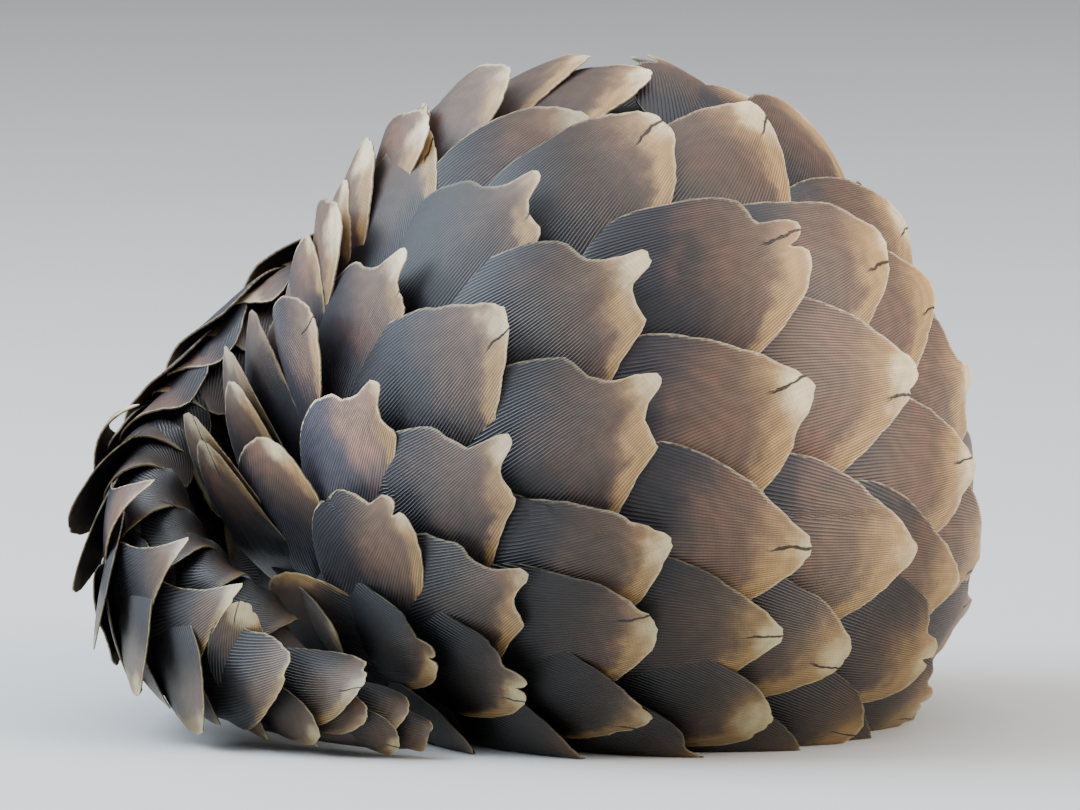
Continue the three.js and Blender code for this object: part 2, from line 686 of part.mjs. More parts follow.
const UPPER = 121;
const LOWER = 33;
const FORELEG = [
  limbAt(-60, -22, 0, 17, 15),
  limbAt(-46, -14, 2, 16, 14),
  limbAt(-30.5, -8, 3, 14, 12.5),
  limbAt(-17, 3, 1, 12.5, 11.5),
];
const FOREFOOT = [
  limbAt(-16.8, 3.2, 1, 12.5, 11.5),
  limbAt(-12, 12, -2, 14, 11),
  limbAt(-9, 22, -5, 13.5, 9.5),
  limbAt(-8, 28, -7, 11, 7),
];
const HINDLEG = [
  limbAt(8, 62, -3, 21, 18),
  limbAt(17, 45, 1, 19, 17),
  limbAt(26, 28, 3, 16.5, 15),
  limbAt(30, 10, 2, 14, 13),
];
const HINDFOOT = [
  limbAt(30, 9.7, 2, 14, 13),
  limbAt(30, -2, -1, 14.5, 12.5),
  limbAt(26, -13, -4, 14, 11),
  limbAt(22, -20, -6, 11.5, 8.5),
];

// A leg's stations hold heights from its own level, mirrored for the lower pair
function level(stations, side) {
  const base = side === 'right' ? UPPER : LOWER;
  return stations.map((s) => ({ ...s, place: s.place.clone().setZ(base + SIDES[side] * s.place.z) }));
}

// Claws of a foot: share across the foot, length, and radius at the root
const claw = (across, length, radius) => ({ across, length, radius });
const FORECLAWS = [claw(-0.85, 10, 2), claw(-0.48, 24, 3.2), claw(0, 30, 3.8), claw(0.48, 24, 3.2),
  claw(0.85, 10, 2)];
const HINDCLAWS = [claw(-0.8, 8, 2), claw(-0.42, 11, 2.4), claw(0, 12, 2.6), claw(0.42, 11, 2.4),
  claw(0.8, 8, 2)];
const CLAW_SIDES = 5;
const CLAW_STATIONS = [[-0.25, 0, 1], [0.2, 0.03, 0.95], [0.6, -0.08, 0.65], [1, -0.3, 0.16]];

function clawShape(foot, spec, grow) {
  const frame = limbFrame(foot, foot.length - 1);
  const root = onLimb(foot, foot.length - 1.01, -0.1, spec.across);
  const stations = CLAW_STATIONS.map(([along, up, thick]) => ({
    place: root.clone().addScaledVector(frame.along, along * spec.length)
      .addScaledVector(frame.up, up * spec.length),
    wide: spec.radius * thick * 0.8,
    deep: spec.radius * thick,
  }));
  return limb(stations, CLAW_SIDES, grow);
}

function addNode(name, shape, look) {
  nodes.push({ name, solid: shape(0), grown: shape(NODE_GAP), look });
}

addLengths();
addNode('neck', (grow) => limb(NECK, HEAD_SIDES, grow), SKIN.flesh);
for (const side of Object.keys(SIDES)) addNode(`eye_${side}`, (grow) => eyeShape(side, grow), SKIN.eye);
addNode('head', headShape, SKIN.flesh);
for (const side of Object.keys(SIDES)) addNode(`ear_${side}`, (grow) => earShape(side, grow), SKIN.flesh);
for (const side of Object.keys(SIDES)) {
  const limbs = { fore: [FORELEG, FOREFOOT, FORECLAWS], hind: [HINDLEG, HINDFOOT, HINDCLAWS] };
  for (const [pair, [leg, foot, claws]] of Object.entries(limbs)) {
    const paw = level(foot, side);
    addNode(`${pair}leg_${side}`, (grow) => limb(level(leg, side), LIMB_SIDES, grow), SKIN.flesh);
    addNode(`${pair}foot_${side}`, (grow) => limb(paw, LIMB_SIDES, grow), SKIN.flesh);
    claws.forEach((spec, index) => {
      addNode(`${pair}claw_${side}_${index + 1}`, (grow) => clawShape(paw, spec, grow), SKIN.claw);
    });
  }
}

// Each node is cut clear of the nodes before it and keeps its largest closed body

function boxesMeet(a, b) {
  const p = a.boundingBox();
  const q = b.boundingBox();
  return [0, 1, 2].every((i) => p.min[i] < q.max[i] && q.min[i] < p.max[i]);
}

function largestBody(solid) {
  return solid.decompose().reduce((a, b) => (b.volume() > a.volume() ? b : a));
}

function toMesh(node) {
  const { vertProperties, triVerts, numProp } = node.solid.getMesh();
  const position = [];
  for (let i = 0; i < vertProperties.length; i += numProp) {
    position.push(vertProperties[i], vertProperties[i + 1], vertProperties[i + 2]);
  }
  const geometry = new THREE.BufferGeometry();
  geometry.setAttribute('position', new THREE.Float32BufferAttribute(position, 3));
  geometry.setIndex([...triVerts]);
  geometry.computeVertexNormals();
  const mesh = new THREE.Mesh(geometry, new THREE.MeshStandardMaterial(node.look));
  mesh.name = node.name;
  return mesh;
}

const pangolin = new THREE.Group();
nodes.forEach((node, index) => {
  const before = nodes.slice(0, index).filter((other) => boxesMeet(other.grown, node.solid));
  const cut = before.reduce((solid, other) => solid.subtract(other.grown), node.solid);
  node.solid = largestBody(cut.trimByPlane([0, 0, 1], 0));
  pangolin.add(toMesh(node));
});

export default pangolin;
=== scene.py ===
# %% [markdown]
# A ground pangolin rolled into a ball, as a museum would show it.
# The animal lies on its left side. Its back is wound round an upright curl axis, the tail wraps the open
# side of the ball, and the head and legs are tucked into the hollow. The solids of the frame fix where
# every part lies, and this script gives them their real surface: overlapping scales of keratin, soft
# skin, claws and eyes.

# %% Load the frame
import math

import bmesh
import bpy
import numpy as np
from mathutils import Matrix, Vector


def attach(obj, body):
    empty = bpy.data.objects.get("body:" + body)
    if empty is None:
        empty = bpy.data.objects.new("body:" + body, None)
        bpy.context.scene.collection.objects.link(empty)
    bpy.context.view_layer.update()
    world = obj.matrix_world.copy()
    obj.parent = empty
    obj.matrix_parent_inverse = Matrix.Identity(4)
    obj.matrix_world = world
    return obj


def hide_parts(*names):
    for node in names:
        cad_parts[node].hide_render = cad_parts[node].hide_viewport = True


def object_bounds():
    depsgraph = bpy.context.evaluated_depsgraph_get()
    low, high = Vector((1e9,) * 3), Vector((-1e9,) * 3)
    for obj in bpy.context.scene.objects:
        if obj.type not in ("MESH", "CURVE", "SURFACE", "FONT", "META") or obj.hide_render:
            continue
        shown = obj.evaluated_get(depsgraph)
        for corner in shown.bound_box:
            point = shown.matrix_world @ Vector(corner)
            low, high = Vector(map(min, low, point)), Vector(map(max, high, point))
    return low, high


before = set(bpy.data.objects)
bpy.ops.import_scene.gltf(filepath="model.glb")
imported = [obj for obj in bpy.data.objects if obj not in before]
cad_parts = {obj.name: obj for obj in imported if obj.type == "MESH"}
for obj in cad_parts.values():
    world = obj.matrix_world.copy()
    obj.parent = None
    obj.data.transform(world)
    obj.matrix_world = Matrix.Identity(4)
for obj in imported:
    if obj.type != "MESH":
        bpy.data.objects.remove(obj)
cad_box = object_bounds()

MM = 0.001


def in_millimetres(box):
    return [[round(v / MM, 1) for v in corner] for corner in box]


print("frame box in millimetres", in_millimetres(cad_box))

# %% [markdown]
# Every scale grows from the skin, so the skin's shape comes first. The body is a thick tube bent round
# the curl axis. A place on it has a longitude, in degrees round the axis from the front towards the
# right, and a latitude, in degrees round the tube from the lower flank to the upper flank. A few
# stations hold the radii and heights, and a smooth curve runs through them. A formula was chosen here,
# because the same place is then known to the skin, the scales and the solids.

# %% The rolled body, in millimetres
AXIS = np.array([31.68, -1.43, 0.0])
UP = np.array([0.0, 0.0, 1.0])
DEPTH_RATIO = 0.97
BALL_RADIUS, BALL_MIDDLE, BALL_TOP, BALL_LOW = 124.5, 80.6, 231.0, -41.0
FLANK_BLEND = 20.0
PAST_END = 0.6

# Each station: longitude, radius of the back, of the belly and of the flank edge, heights of the top,
# middle and underside, and the height of the belly side as a share of the back's
TRUNK = np.array([
    (-106, 106, 58, 80, 106, 62, 16, 1.0), (-94, 107, 58, 50, 166, 76, -2, 0.85),
    (-80, 119, 55, 12, 218, 80.6, -36, 0.6), (-64, 124.5, 54, 4, 231, 80.6, -41, 0.6),
    (150, 124.5, 54, 4, 231, 80.6, -41, 0.6), (180, 127, 54, 24, 221, 92, -26, 0.7),
    (205, 134, 70, 98, 182, 103, 24, 1.0),
])
TAIL = np.array([
    (205, 134, 70, 98, 182, 103, 24, 1.0), (220, 150, 98, 123, 176, 101, 26, 1.0),
    (236, 166, 122, 144, 158, 94, 30, 1.0), (250, 181, 143, 161, 128, 80, 32, 1.0),
    (265, 189, 158, 173, 103, 64, 25, 1.0), (280, 187, 159, 172, 87, 51, 15, 1.0),
    (291, 178, 153, 165, 70, 40, 10, 1.0), (303, 164, 142, 152, 53, 29, 5, 1.0),
    (312, 153, 134, 143, 33, 18, 3, 1.0), (322, 142, 128, 135, 20, 11, 2, 1.0),
    (327, 135, 128, 131.5, 12, 8, 3, 1.0),
])


def stations_at(table, at):
    """The rows of a table at values of its first column, on a smooth curve through them."""
    at = np.asarray(at, float)
    last = len(table) - 1
    i = np.clip(np.searchsorted(table[:, 0], at) - 1, 0, last - 1)
    a, b = table[i], table[i + 1]
    before, after = table[np.maximum(i - 1, 0)], table[np.minimum(i + 2, last)]
    span = b[:, :1] - a[:, :1]
    t = np.clip((at[:, None] - a[:, :1]) / span, -PAST_END, 1 + PAST_END)
    slope_a = (b - before) / (b[:, :1] - before[:, :1])
    slope_b = (after - a) / (after[:, :1] - a[:, :1])
    start = (2 * t**3 - 3 * t**2 + 1) * a + (t**3 - 2 * t**2 + t) * span * slope_a
    return start + (3 * t**2 - 2 * t**3) * b + (t**3 - t**2) * span * slope_b


def body_point(table, longitude, latitude, inside=0.0):
    """Points of the body's surface, or of a smaller body that lies inside it by a depth."""
    _, outer, inner, flank, top, middle, low, hollow = stations_at(table, longitude).T
    side, rise = np.cos(np.radians(latitude)), np.sin(np.radians(latitude))
    back = outer - inside - flank
    belly = inner + inside - flank
    radius = flank + np.where(side > 0, back * side, -belly * side)
    tall = np.where(rise > 0, top - middle, middle - low)
    outward = np.clip((flank - inner) / FLANK_BLEND, -1, 1)
    reach = np.where(side < 0, tall * hollow - outward * inside, tall - inside)
    turn = np.radians(longitude)
    return AXIS + np.stack([
        radius * np.sin(turn),
        -radius * np.cos(turn) * DEPTH_RATIO,
        middle + reach * rise,
    ], axis=-1)


def trunk_surface(longitude, latitude):
    return body_point(TRUNK, longitude, latitude)


def tail_surface(longitude, latitude):
    return body_point(TAIL, longitude, latitude)


def crown_surface(right, back):
    """The top of the ball by its angles from the pole, to the right and to the back."""
    right, back = np.radians(right), np.radians(back)
    return AXIS + np.stack([
        BALL_RADIUS * np.sin(right) * np.cos(back),
        BALL_RADIUS * DEPTH_RATIO * np.sin(back),
        BALL_MIDDLE + (BALL_TOP - BALL_MIDDLE) * np.cos(right) * np.cos(back),
    ], axis=-1)


# %% [markdown]
# A scale is set by the place of its tip and the way that it points. To find where the rest of it lies,
# the script walks over the surface from the tip, in small steps that keep to one heading, as a tape
# laid on the animal would run.

# %% Walk over the surface
FINE_STEP = 0.25


def unit(vectors):
    return vectors / np.maximum(np.linalg.norm(vectors, axis=-1, keepdims=True), 1e-9)


def dot(a, b):
    return np.sum(a * b, axis=-1)


def bell(value, middle, wide):
    return np.exp(-((value - middle) / wide) ** 2)


def frames_at(surface, longitude, latitude):
    """Place, eastward and northward vectors for each degree, and the outward normal."""
    h = FINE_STEP
    east = (surface(longitude + h, latitude) - surface(longitude - h, latitude)) / (2 * h)
    north = (surface(longitude, latitude + h) - surface(longitude, latitude - h)) / (2 * h)
    return {"at": (longitude, latitude), "place": surface(longitude, latitude), "east": east,
            "north": north, "normal": unit(np.cross(east, north))}


def start_at(surface, longitude, latitude, heading):
    """The frame at a place, and a heading there by its degrees from east towards north."""
    here = frames_at(surface, longitude, latitude)
    east = unit(here["east"])
    turn = math.radians(heading)
    return here, east * math.cos(turn) + np.cross(here["normal"], east) * math.sin(turn)


def walk(surface, here, ahead, distance, steps):
    """Frames and headings after a walk of each distance from each start."""
    for _ in range(steps):
        east, north = here["east"], here["north"]
        ee, nn, en = dot(east, east), dot(north, north), dot(east, north)
        de, dn = dot(ahead, east), dot(ahead, north)
        scale = distance / steps / (ee * nn - en * en)
        longitude, latitude = here["at"]
        here = frames_at(surface, longitude + scale * (de * nn - dn * en),
                         latitude + scale * (dn * ee - de * en))
        ahead = unit(ahead - here["normal"] * dot(ahead, here["normal"])[:, None])
    return here, ahead


# %% [markdown]
# A pangolin's scale is a broad plate of horn. Its root is narrow and sits in the skin, it widens to the
# middle, and its free end narrows to a blunt point where the ridges of growth meet. The plate is
# modelled once, as a flat slab made from a grid: one way it counts from the root to the free edge, the
# other way from its right side round to its left. Each copy is then given its own outline and is laid
# over the animal.

# %% Model the flat plate once
COLUMNS, ROWS = 56, 12


def select(*pieces):
    """Selects these pieces alone, and makes the first one active."""
    bpy.ops.object.select_all(action="DESELECT")
    for piece in pieces:
        piece.select_set(True)
    if pieces:
        bpy.context.view_layer.objects.active = pieces[0]


def new_shape(name, kind, **settings):
    """One of Blender's own shapes, made with nothing else selected."""
    select()
    getattr(bpy.ops.mesh, f"primitive_{kind}_add")(**settings)
    bpy.context.object.name = name
    return bpy.context.object


def vertex_array(mesh, kind="co"):
    values = np.empty(len(mesh.vertices) * 3)
    mesh.vertices.foreach_get(kind, values)
    return values.reshape(-1, 3)


def model_flat_plate():
    plate = new_shape("flat_plate", "grid", x_subdivisions=COLUMNS, y_subdivisions=ROWS, size=2)
    bpy.ops.object.mode_set(mode="EDIT")
    bpy.ops.mesh.select_all(action="SELECT")
    bpy.ops.mesh.extrude_region_move(TRANSFORM_OT_translate={"value": (0, 0, -1)})
    bpy.ops.mesh.select_all(action="SELECT")
    bpy.ops.mesh.normals_make_consistent(inside=False)
    bpy.ops.object.mode_set(mode="OBJECT")
    return plate


flat_plate = model_flat_plate()
flat = vertex_array(flat_plate.data)
ACROSS = flat[:, 0]
OUTWARD = (flat[:, 1] + 1) / 2
ON_TOP = flat[:, 2] > -0.5
print("flat plate:", len(flat), "vertices,", len(flat_plate.data.polygons), "faces")

# %% [markdown]
# The outline is what makes each scale different. Worn scales keep a horn at the tip with a hollow on
# each side of it, others are chipped or rounded off. The outline runs from the right side of the root,
# over the tip, to the left side, in shares of the plate's length and half width. Small waves and a few
# bites wear its free edge, and they are drawn anew for each copy.

# %% Outlines of the scales
RIGHT_ROOT, LEFT_ROOT = (-1, 0.06, -0.42), (1, 0.06, 0.42)
# Where along the grid's width, how far along the plate, how far across it
OUTLINES = {
    "pointed": [
        (-0.9, 0.2, -0.8), (-0.76, 0.4, -1), (-0.62, 0.56, -0.9), (-0.47, 0.7, -0.68),
        (-0.33, 0.82, -0.47), (-0.2, 0.91, -0.27), (-0.09, 0.975, -0.11), (0.01, 1, 0.02),
        (0.1, 0.985, 0.14), (0.22, 0.92, 0.33), (0.35, 0.83, 0.56), (0.49, 0.7, 0.84), (0.64, 0.5, 1.1),
        (0.8, 0.3, 1.1), (0.91, 0.18, 0.84),
    ],
    "horned": [
        (-0.9, 0.2, -0.8), (-0.76, 0.4, -1), (-0.62, 0.6, -0.8), (-0.5, 0.73, -0.62), (-0.4, 0.84, -0.5),
        (-0.32, 0.855, -0.42), (-0.22, 0.87, -0.22), (-0.14, 0.91, -0.09), (-0.07, 0.975, -0.04),
        (0, 1, 0.03), (0.06, 0.995, 0.13), (0.14, 0.93, 0.2), (0.22, 0.86, 0.29), (0.32, 0.81, 0.46),
        (0.43, 0.77, 0.76), (0.56, 0.6, 1.06), (0.72, 0.42, 1.16), (0.88, 0.22, 0.9),
    ],
    "squared": [
        (-0.9, 0.2, -0.8), (-0.76, 0.4, -1), (-0.62, 0.58, -0.9), (-0.47, 0.74, -0.7),
        (-0.33, 0.86, -0.5), (-0.2, 0.94, -0.32), (-0.09, 0.99, -0.12), (0.03, 1, 0.08),
        (0.14, 0.97, 0.24), (0.26, 0.92, 0.42), (0.38, 0.83, 0.66), (0.5, 0.69, 0.86), (0.65, 0.5, 1.1),
        (0.8, 0.3, 1.12), (0.91, 0.18, 0.84),
    ],
    "cleft": [
        (-0.9, 0.2, -0.8), (-0.76, 0.4, -1), (-0.62, 0.58, -0.9), (-0.47, 0.76, -0.7),
        (-0.34, 0.9, -0.48), (-0.24, 0.97, -0.24), (-0.15, 0.98, -0.05), (-0.08, 0.93, 0.02),
        (-0.01, 0.99, 0.07), (0.07, 1, 0.2), (0.14, 0.95, 0.31), (0.22, 0.88, 0.38), (0.32, 0.86, 0.6),
        (0.44, 0.79, 0.82), (0.58, 0.58, 1.06), (0.74, 0.4, 1.14), (0.88, 0.22, 0.88),
    ],
    "leaf": [
        (-0.88, 0.2, -0.8), (-0.72, 0.42, -1), (-0.56, 0.62, -0.94), (-0.4, 0.8, -0.72),
        (-0.26, 0.92, -0.44), (-0.12, 0.985, -0.16), (0, 1, 0.03), (0.12, 0.985, 0.22), (0.26, 0.92, 0.5),
        (0.4, 0.8, 0.78), (0.56, 0.62, 0.98), (0.72, 0.42, 1.04), (0.88, 0.2, 0.84),
    ],
    "flag": [
        (-0.88, 0.18, -0.7), (-0.74, 0.34, -0.84), (-0.6, 0.5, -0.76), (-0.45, 0.66, -0.56),
        (-0.3, 0.8, -0.36), (-0.18, 0.9, -0.2), (-0.09, 0.97, -0.08), (0, 1, 0.04), (0.07, 0.97, 0.13),
        (0.16, 0.87, 0.26), (0.3, 0.7, 0.48), (0.46, 0.52, 0.74), (0.62, 0.36, 0.98), (0.74, 0.26, 1.06),
        (0.86, 0.16, 0.92),
    ],
}
OUTLINES = {style: np.array([RIGHT_ROOT, *places, LEFT_ROOT]) for style, places in OUTLINES.items()}
ROOT_ALONG, ROOT_HALF, ROOT_BEND = 0.03, 0.40, 1.35
FREE_FROM, FREE_OVER = 0.45, 0.2
# Waves across the edge and the share of each, then the ranges that the bites are drawn from
EDGE_WAVES, ANY_PHASE = ((21, 0.4), (45, 0.35), (93, 0.25)), 6.28
BITES, BITE_PLACE, BITE_WIDTH, BITE_DEPTH = 3, (-0.6, 0.5), (0.02, 0.06), (0.5, 1.4)
# How deep the wear goes in shares of the length, and how much of it is waves
WEAR, WAVE_WEAR = 0.018, 0.5

draws = np.random.default_rng(11)


def ragged():
    """How far the worn edge steps in and out, in shares of the length."""
    waves = sum(share * np.sin(count * ACROSS + draws.uniform(0, ANY_PHASE)) for count, share in EDGE_WAVES)
    bites = np.zeros_like(ACROSS)
    for _ in range(draws.integers(0, BITES)):
        middle, wide = draws.uniform(*BITE_PLACE), draws.uniform(*BITE_WIDTH)
        bites += draws.uniform(*BITE_DEPTH) * bell(ACROSS, middle, wide)
    return WEAR * (waves * WAVE_WEAR - bites)


def plate_places(style):
    """Where each vertex of the flat plate lies on its own scale, along and across."""
    rim = stations_at(OUTLINES[style], ACROSS)[:, 1:]
    free = np.clip((rim[:, 0] - FREE_FROM) / FREE_OVER, 0, 1)
    rim = rim * (1 + (ragged() * free)[:, None])
    root = np.stack([np.full_like(ACROSS, ROOT_ALONG), ACROSS * ROOT_HALF], axis=-1)
    reach = 1 - (1 - OUTWARD) ** ROOT_BEND
    return root + (rim - root) * reach[:, None], reach


# %% [markdown]
# To lay a scale on the body, its tip is put over its place, and every other point of it is found by a
# walk back along the scale and a second one across it. Its root is sunk in the skin and its tip stands
# off it, so that it overlaps the scales behind it. It is raised a little on its left side, as tiles are.

# %% Lay one scale over the body
ROLL = 2.6
ROOT_THICK, RIM_THICK, THIN_START = 2.3, 0.7, 0.25
FULL_LENGTH, FULL_WIDTH = 86.0, 60
DOME, DOME_END = 1.6, 1.3
TIP_CURL, CURL_FROM = 4.8, 0.85
STEPS_BACK, STEPS_ACROSS = 3, 2


def lay_scale(spec):
    """The vertices of one scale in millimetres, where they lie on the plate, and how near its rim."""
    surface, wrap, lift, sink = (spec[key] for key in ("surface", "wrap", "lift", "sink"))
    places, reach = plate_places(spec["style"])
    along, across = places[:, 0], places[:, 1]
    everywhere = np.ones(len(along))
    tip, heading = start_at(surface, everywhere * spec["longitude"], everywhere * spec["latitude"],
                            spec["heading"])
    middle, ahead = walk(surface, tip, heading, -(1 - along) * spec["length"], STEPS_BACK)
    left = np.cross(middle["normal"], ahead)
    sideways = across * spec["width"] / 2
    beside, _ = walk(surface, middle, left, sideways, STEPS_ACROSS)
    normal = unit(middle["normal"] * (1 - wrap) + beside["normal"] * wrap)
    flat_place = middle["place"] + left * sideways[:, None]
    place = flat_place * (1 - wrap) + beside["place"] * wrap
    size = spec["width"] / FULL_WIDTH
    height = -sink + (lift + sink) * along**spec["rise"] + across * spec["roll"]
    height = height + DOME * size * (1 - across**2) * np.clip(DOME_END - along, 0, 1)
    height = height + TIP_CURL * size * np.clip(along - CURL_FROM, 0, 1)
    thick = (ROOT_THICK + (RIM_THICK - ROOT_THICK) * reach**3) * min(1.0, size + THIN_START)
    side = np.where(ON_TOP, 0.5, -0.5)
    return place + normal * (height + side * thick)[:, None], places, reach


# %% [markdown]
# The scales of the trunk stand in a quincunx: rows run along the body, and each scale's tip lies over
# the joint of the two behind it. Those that the photograph shows are placed one by one, and rows go on
# from them round the back. The rows sink towards the neck, where the tips fan out, because the neck is
# bent under the ball.

# %% Scales of the trunk
# The scales that the front shows, from the top row down: longitude, latitude, heading, length, width
# and outline
FRONT = [
    (-15.8, 50.3, 44, 84, 62, "horned"), (15.1, 61.7, 42, 86, 62, "squared"),
    (56.8, 63.5, 34, 84, 60, "pointed"), (-40.8, 37.5, 52, 80, 52, "horned"),
    (-18, 29.7, 44, 84, 64, "pointed"), (7.3, 37.2, 32, 90, 66, "horned"),
    (39.6, 39.1, 14, 92, 66, "cleft"), (63.1, 37.9, 8, 90, 64, "squared"),
    (-39.2, 19.3, 60, 72, 56, "horned"), (-15.2, 12.9, 42, 84, 62, "horned"),
    (7.8, 20.8, 35, 92, 68, "horned"), (32.9, 19.2, 19, 92, 76, "pointed"),
    (57.2, 19.5, 0, 92, 68, "pointed"), (88.4, 16.6, 0, 90, 66, "horned"),
    (77, 29.9, 4, 88, 62, "pointed"), (74, 6, 2, 88, 64, "pointed"), (-33.2, 4.1, 52, 70, 56, "cleft"),
    (-12.4, -4.7, 30, 76, 56, "horned"), (8.6, 0.6, 24, 84, 58, "pointed"),
    (30.6, -1.4, 0, 88, 62, "pointed"), (52, -3.1, 2, 88, 64, "pointed"),
    (86, -5.8, 2, 86, 62, "pointed"), (-48.5, -15, 20, 56, 36, "leaf"),
    (-28.3, -18.9, 4, 60, 40, "cleft"), (6.6, -12.3, 16, 80, 54, "squared"),
    (26.8, -14.2, 6, 78, 54, "pointed"), (40, -18, -2, 74, 52, "squared"),
    (64.5, -22, -6, 76, 54, "cleft"), (67, -9.3, 0, 84, 60, "pointed"),
    (-13.7, -23.2, 2, 60, 42, "cleft"), (6.5, -28, 0, 64, 40, "pointed"),
    (27.9, -29.4, -4, 64, 40, "leaf"), (50, -33, -6, 60, 42, "leaf"), (-26, -35, 6, 48, 38, "leaf"),
    (-5, -37, 0, 54, 42, "pointed"), (17, -38, 0, 56, 42, "cleft"), (38, -39, -2, 56, 42, "leaf"),
    (60, -39, -4, 54, 40, "pointed"), (-64, -9, 130, 56, 40, "leaf"),
]
# Latitude, first longitude, pitch, length, width of the rows that go on behind
BACK_ROWS = [
    (62, 97, 31, 84, 58), (38.5, 90.5, 28, 90, 64), (17, 113, 26, 90, 66), (-2, 103, 26, 86, 62),
    (-16, 91, 26, 78, 54), (-30, 77, 26, 60, 46), (82, 124, 30, 62, 52), (-40, 88, 26, 50, 44),
]
BACK_SLOPE, TRUNK_LAST, BACK_HEADING = -0.02, 214, 5
CREST_TURN, CREST_FROM, CREST_OVER = 14, 45, 20
# How far place and heading stray, and the shares of length and width that are drawn
BACK_SCATTER, BACK_LENGTHS, BACK_WIDTHS = (1.5, 1.2, 5), (0.96, 1.05), (0.95, 1.05)
NARROWEST, LENGTH_SHRINK = 0.55, 0.6
# A second layer lies lower at the back, where the body bends most and the first one opens
UNDER_ROWS = [(50, 150, 26, 70, 54), (28, 152, 26, 72, 58), (8, 150, 26, 72, 56), (-12, 152, 26, 68, 52)]
UNDER_LIFT = 5
SCALE_LIFT, SCALE_SINK = 14, 5
STYLES = {"pointed": 0.34, "horned": 0.24, "squared": 0.18, "cleft": 0.1, "leaf": 0.14}
SPLIT_SHARE = {"pointed": 0.8, "horned": 0.15, "squared": 0.6, "cleft": 0.3, "leaf": 0.2, "flag": 0.0}
# Longitude and tone, which is painted light and shade: the scales on the left are painted paler, as the
# sky's reflection on them, and those of the middle are painted darker, as shade
SHADE_AND_LIGHT_TONES = np.array([(-60, 1.3), (-36, 1.2), (-24, 0.8), (-12, 0.48), (12, 0.44), (34, 0.80), (60, 0.95)])
# The low rows are darker, partly dirt and partly painted shade near the ground
LOW_DIRT_AND_SHADE, LOW_FROM, LOW_OVER = 0.2, -4, 12
# The high rows are painted darker, as shade against the light from overhead
HIGH_PAINTED_SHADE, HIGH_FROM, HIGH_OVER = 0.5, 26, 26
# One scale is painted paler than its neighbours, as painted light where the scales above shade it
LIT_SCALE, LIT_SCALE_BY = (-39.2, 19.3), 1.7


def limited(value, low=0, high=1):
    return float(np.clip(value, low, high))


def style_of():
    return draws.choice(list(STYLES), p=list(STYLES.values()))


def scattered(values, spreads):
    return tuple(value + draws.uniform(-spread, spread) for value, spread in zip(values, spreads))


def scale_spec(surface, place, size, lift, style, **own):
    """All that sets one scale: its place and heading, length and width, and what is its own."""
    longitude, latitude, heading = place
    length, width = size
    spec = {"surface": surface, "longitude": float(longitude), "latitude": float(latitude),
            "heading": heading, "length": length, "width": width, "lift": lift, "sink": SCALE_SINK,
            "wrap": 1.0, "rise": 1.0, "style": style, "roll": ROLL, "stain": 0.0, "tone": 1.0,
            "split": float(draws.uniform() < SPLIT_SHARE[style])}
    return spec | own


# The tone of a place is painted light and shade, and in the low rows partly dirt
def tone_of(longitude, latitude):
    low = limited((LOW_FROM - latitude) / LOW_OVER)
    high = limited((latitude - HIGH_FROM) / HIGH_OVER)
    tone = float(np.interp(longitude, SHADE_AND_LIGHT_TONES[:, 0], SHADE_AND_LIGHT_TONES[:, 1]))
    return tone * (1 + (LOW_DIRT_AND_SHADE - 1) * low) * (1 + (HIGH_PAINTED_SHADE - 1) * high)


def height_at(table, longitude):
    station = stations_at(table, [min(longitude, table[-1, 0])])[0]
    return station[4] - station[6]


def trunk_scales():
    specs = []
    for longitude, latitude, heading, length, width, style in FRONT:
        # The lit scale's tone is painted light
        painted_light = LIT_SCALE_BY if (longitude, latitude) == LIT_SCALE else 1.0
        specs.append(scale_spec(trunk_surface, (longitude, latitude, heading), (length, width),
                                SCALE_LIFT, style, tone=tone_of(longitude, latitude) * painted_light))
    for latitude, start, pitch, length, width in BACK_ROWS:
        turn = CREST_TURN * limited((latitude - CREST_FROM) / CREST_OVER)
        for longitude in np.arange(start, TRUNK_LAST, pitch):
            narrow = limited(height_at(TRUNK, longitude) / (BALL_TOP - BALL_LOW), NARROWEST)
            sunk = latitude + BACK_SLOPE * (longitude - start)
            place = scattered((longitude, sunk, BACK_HEADING + turn), BACK_SCATTER)
            size = (length * (narrow * LENGTH_SHRINK + 1 - LENGTH_SHRINK) * draws.uniform(*BACK_LENGTHS),
                    width * narrow * draws.uniform(*BACK_WIDTHS))
            specs.append(scale_spec(trunk_surface, place, size, SCALE_LIFT, style_of(),
                                    tone=tone_of(longitude, latitude)))
    for latitude, start, pitch, length, width in UNDER_ROWS:
        for longitude in np.arange(start, TRUNK_LAST, pitch):
            specs.append(scale_spec(trunk_surface, (longitude, latitude, BACK_HEADING),
                                    (length, width), UNDER_LIFT, "leaf"))
    return specs
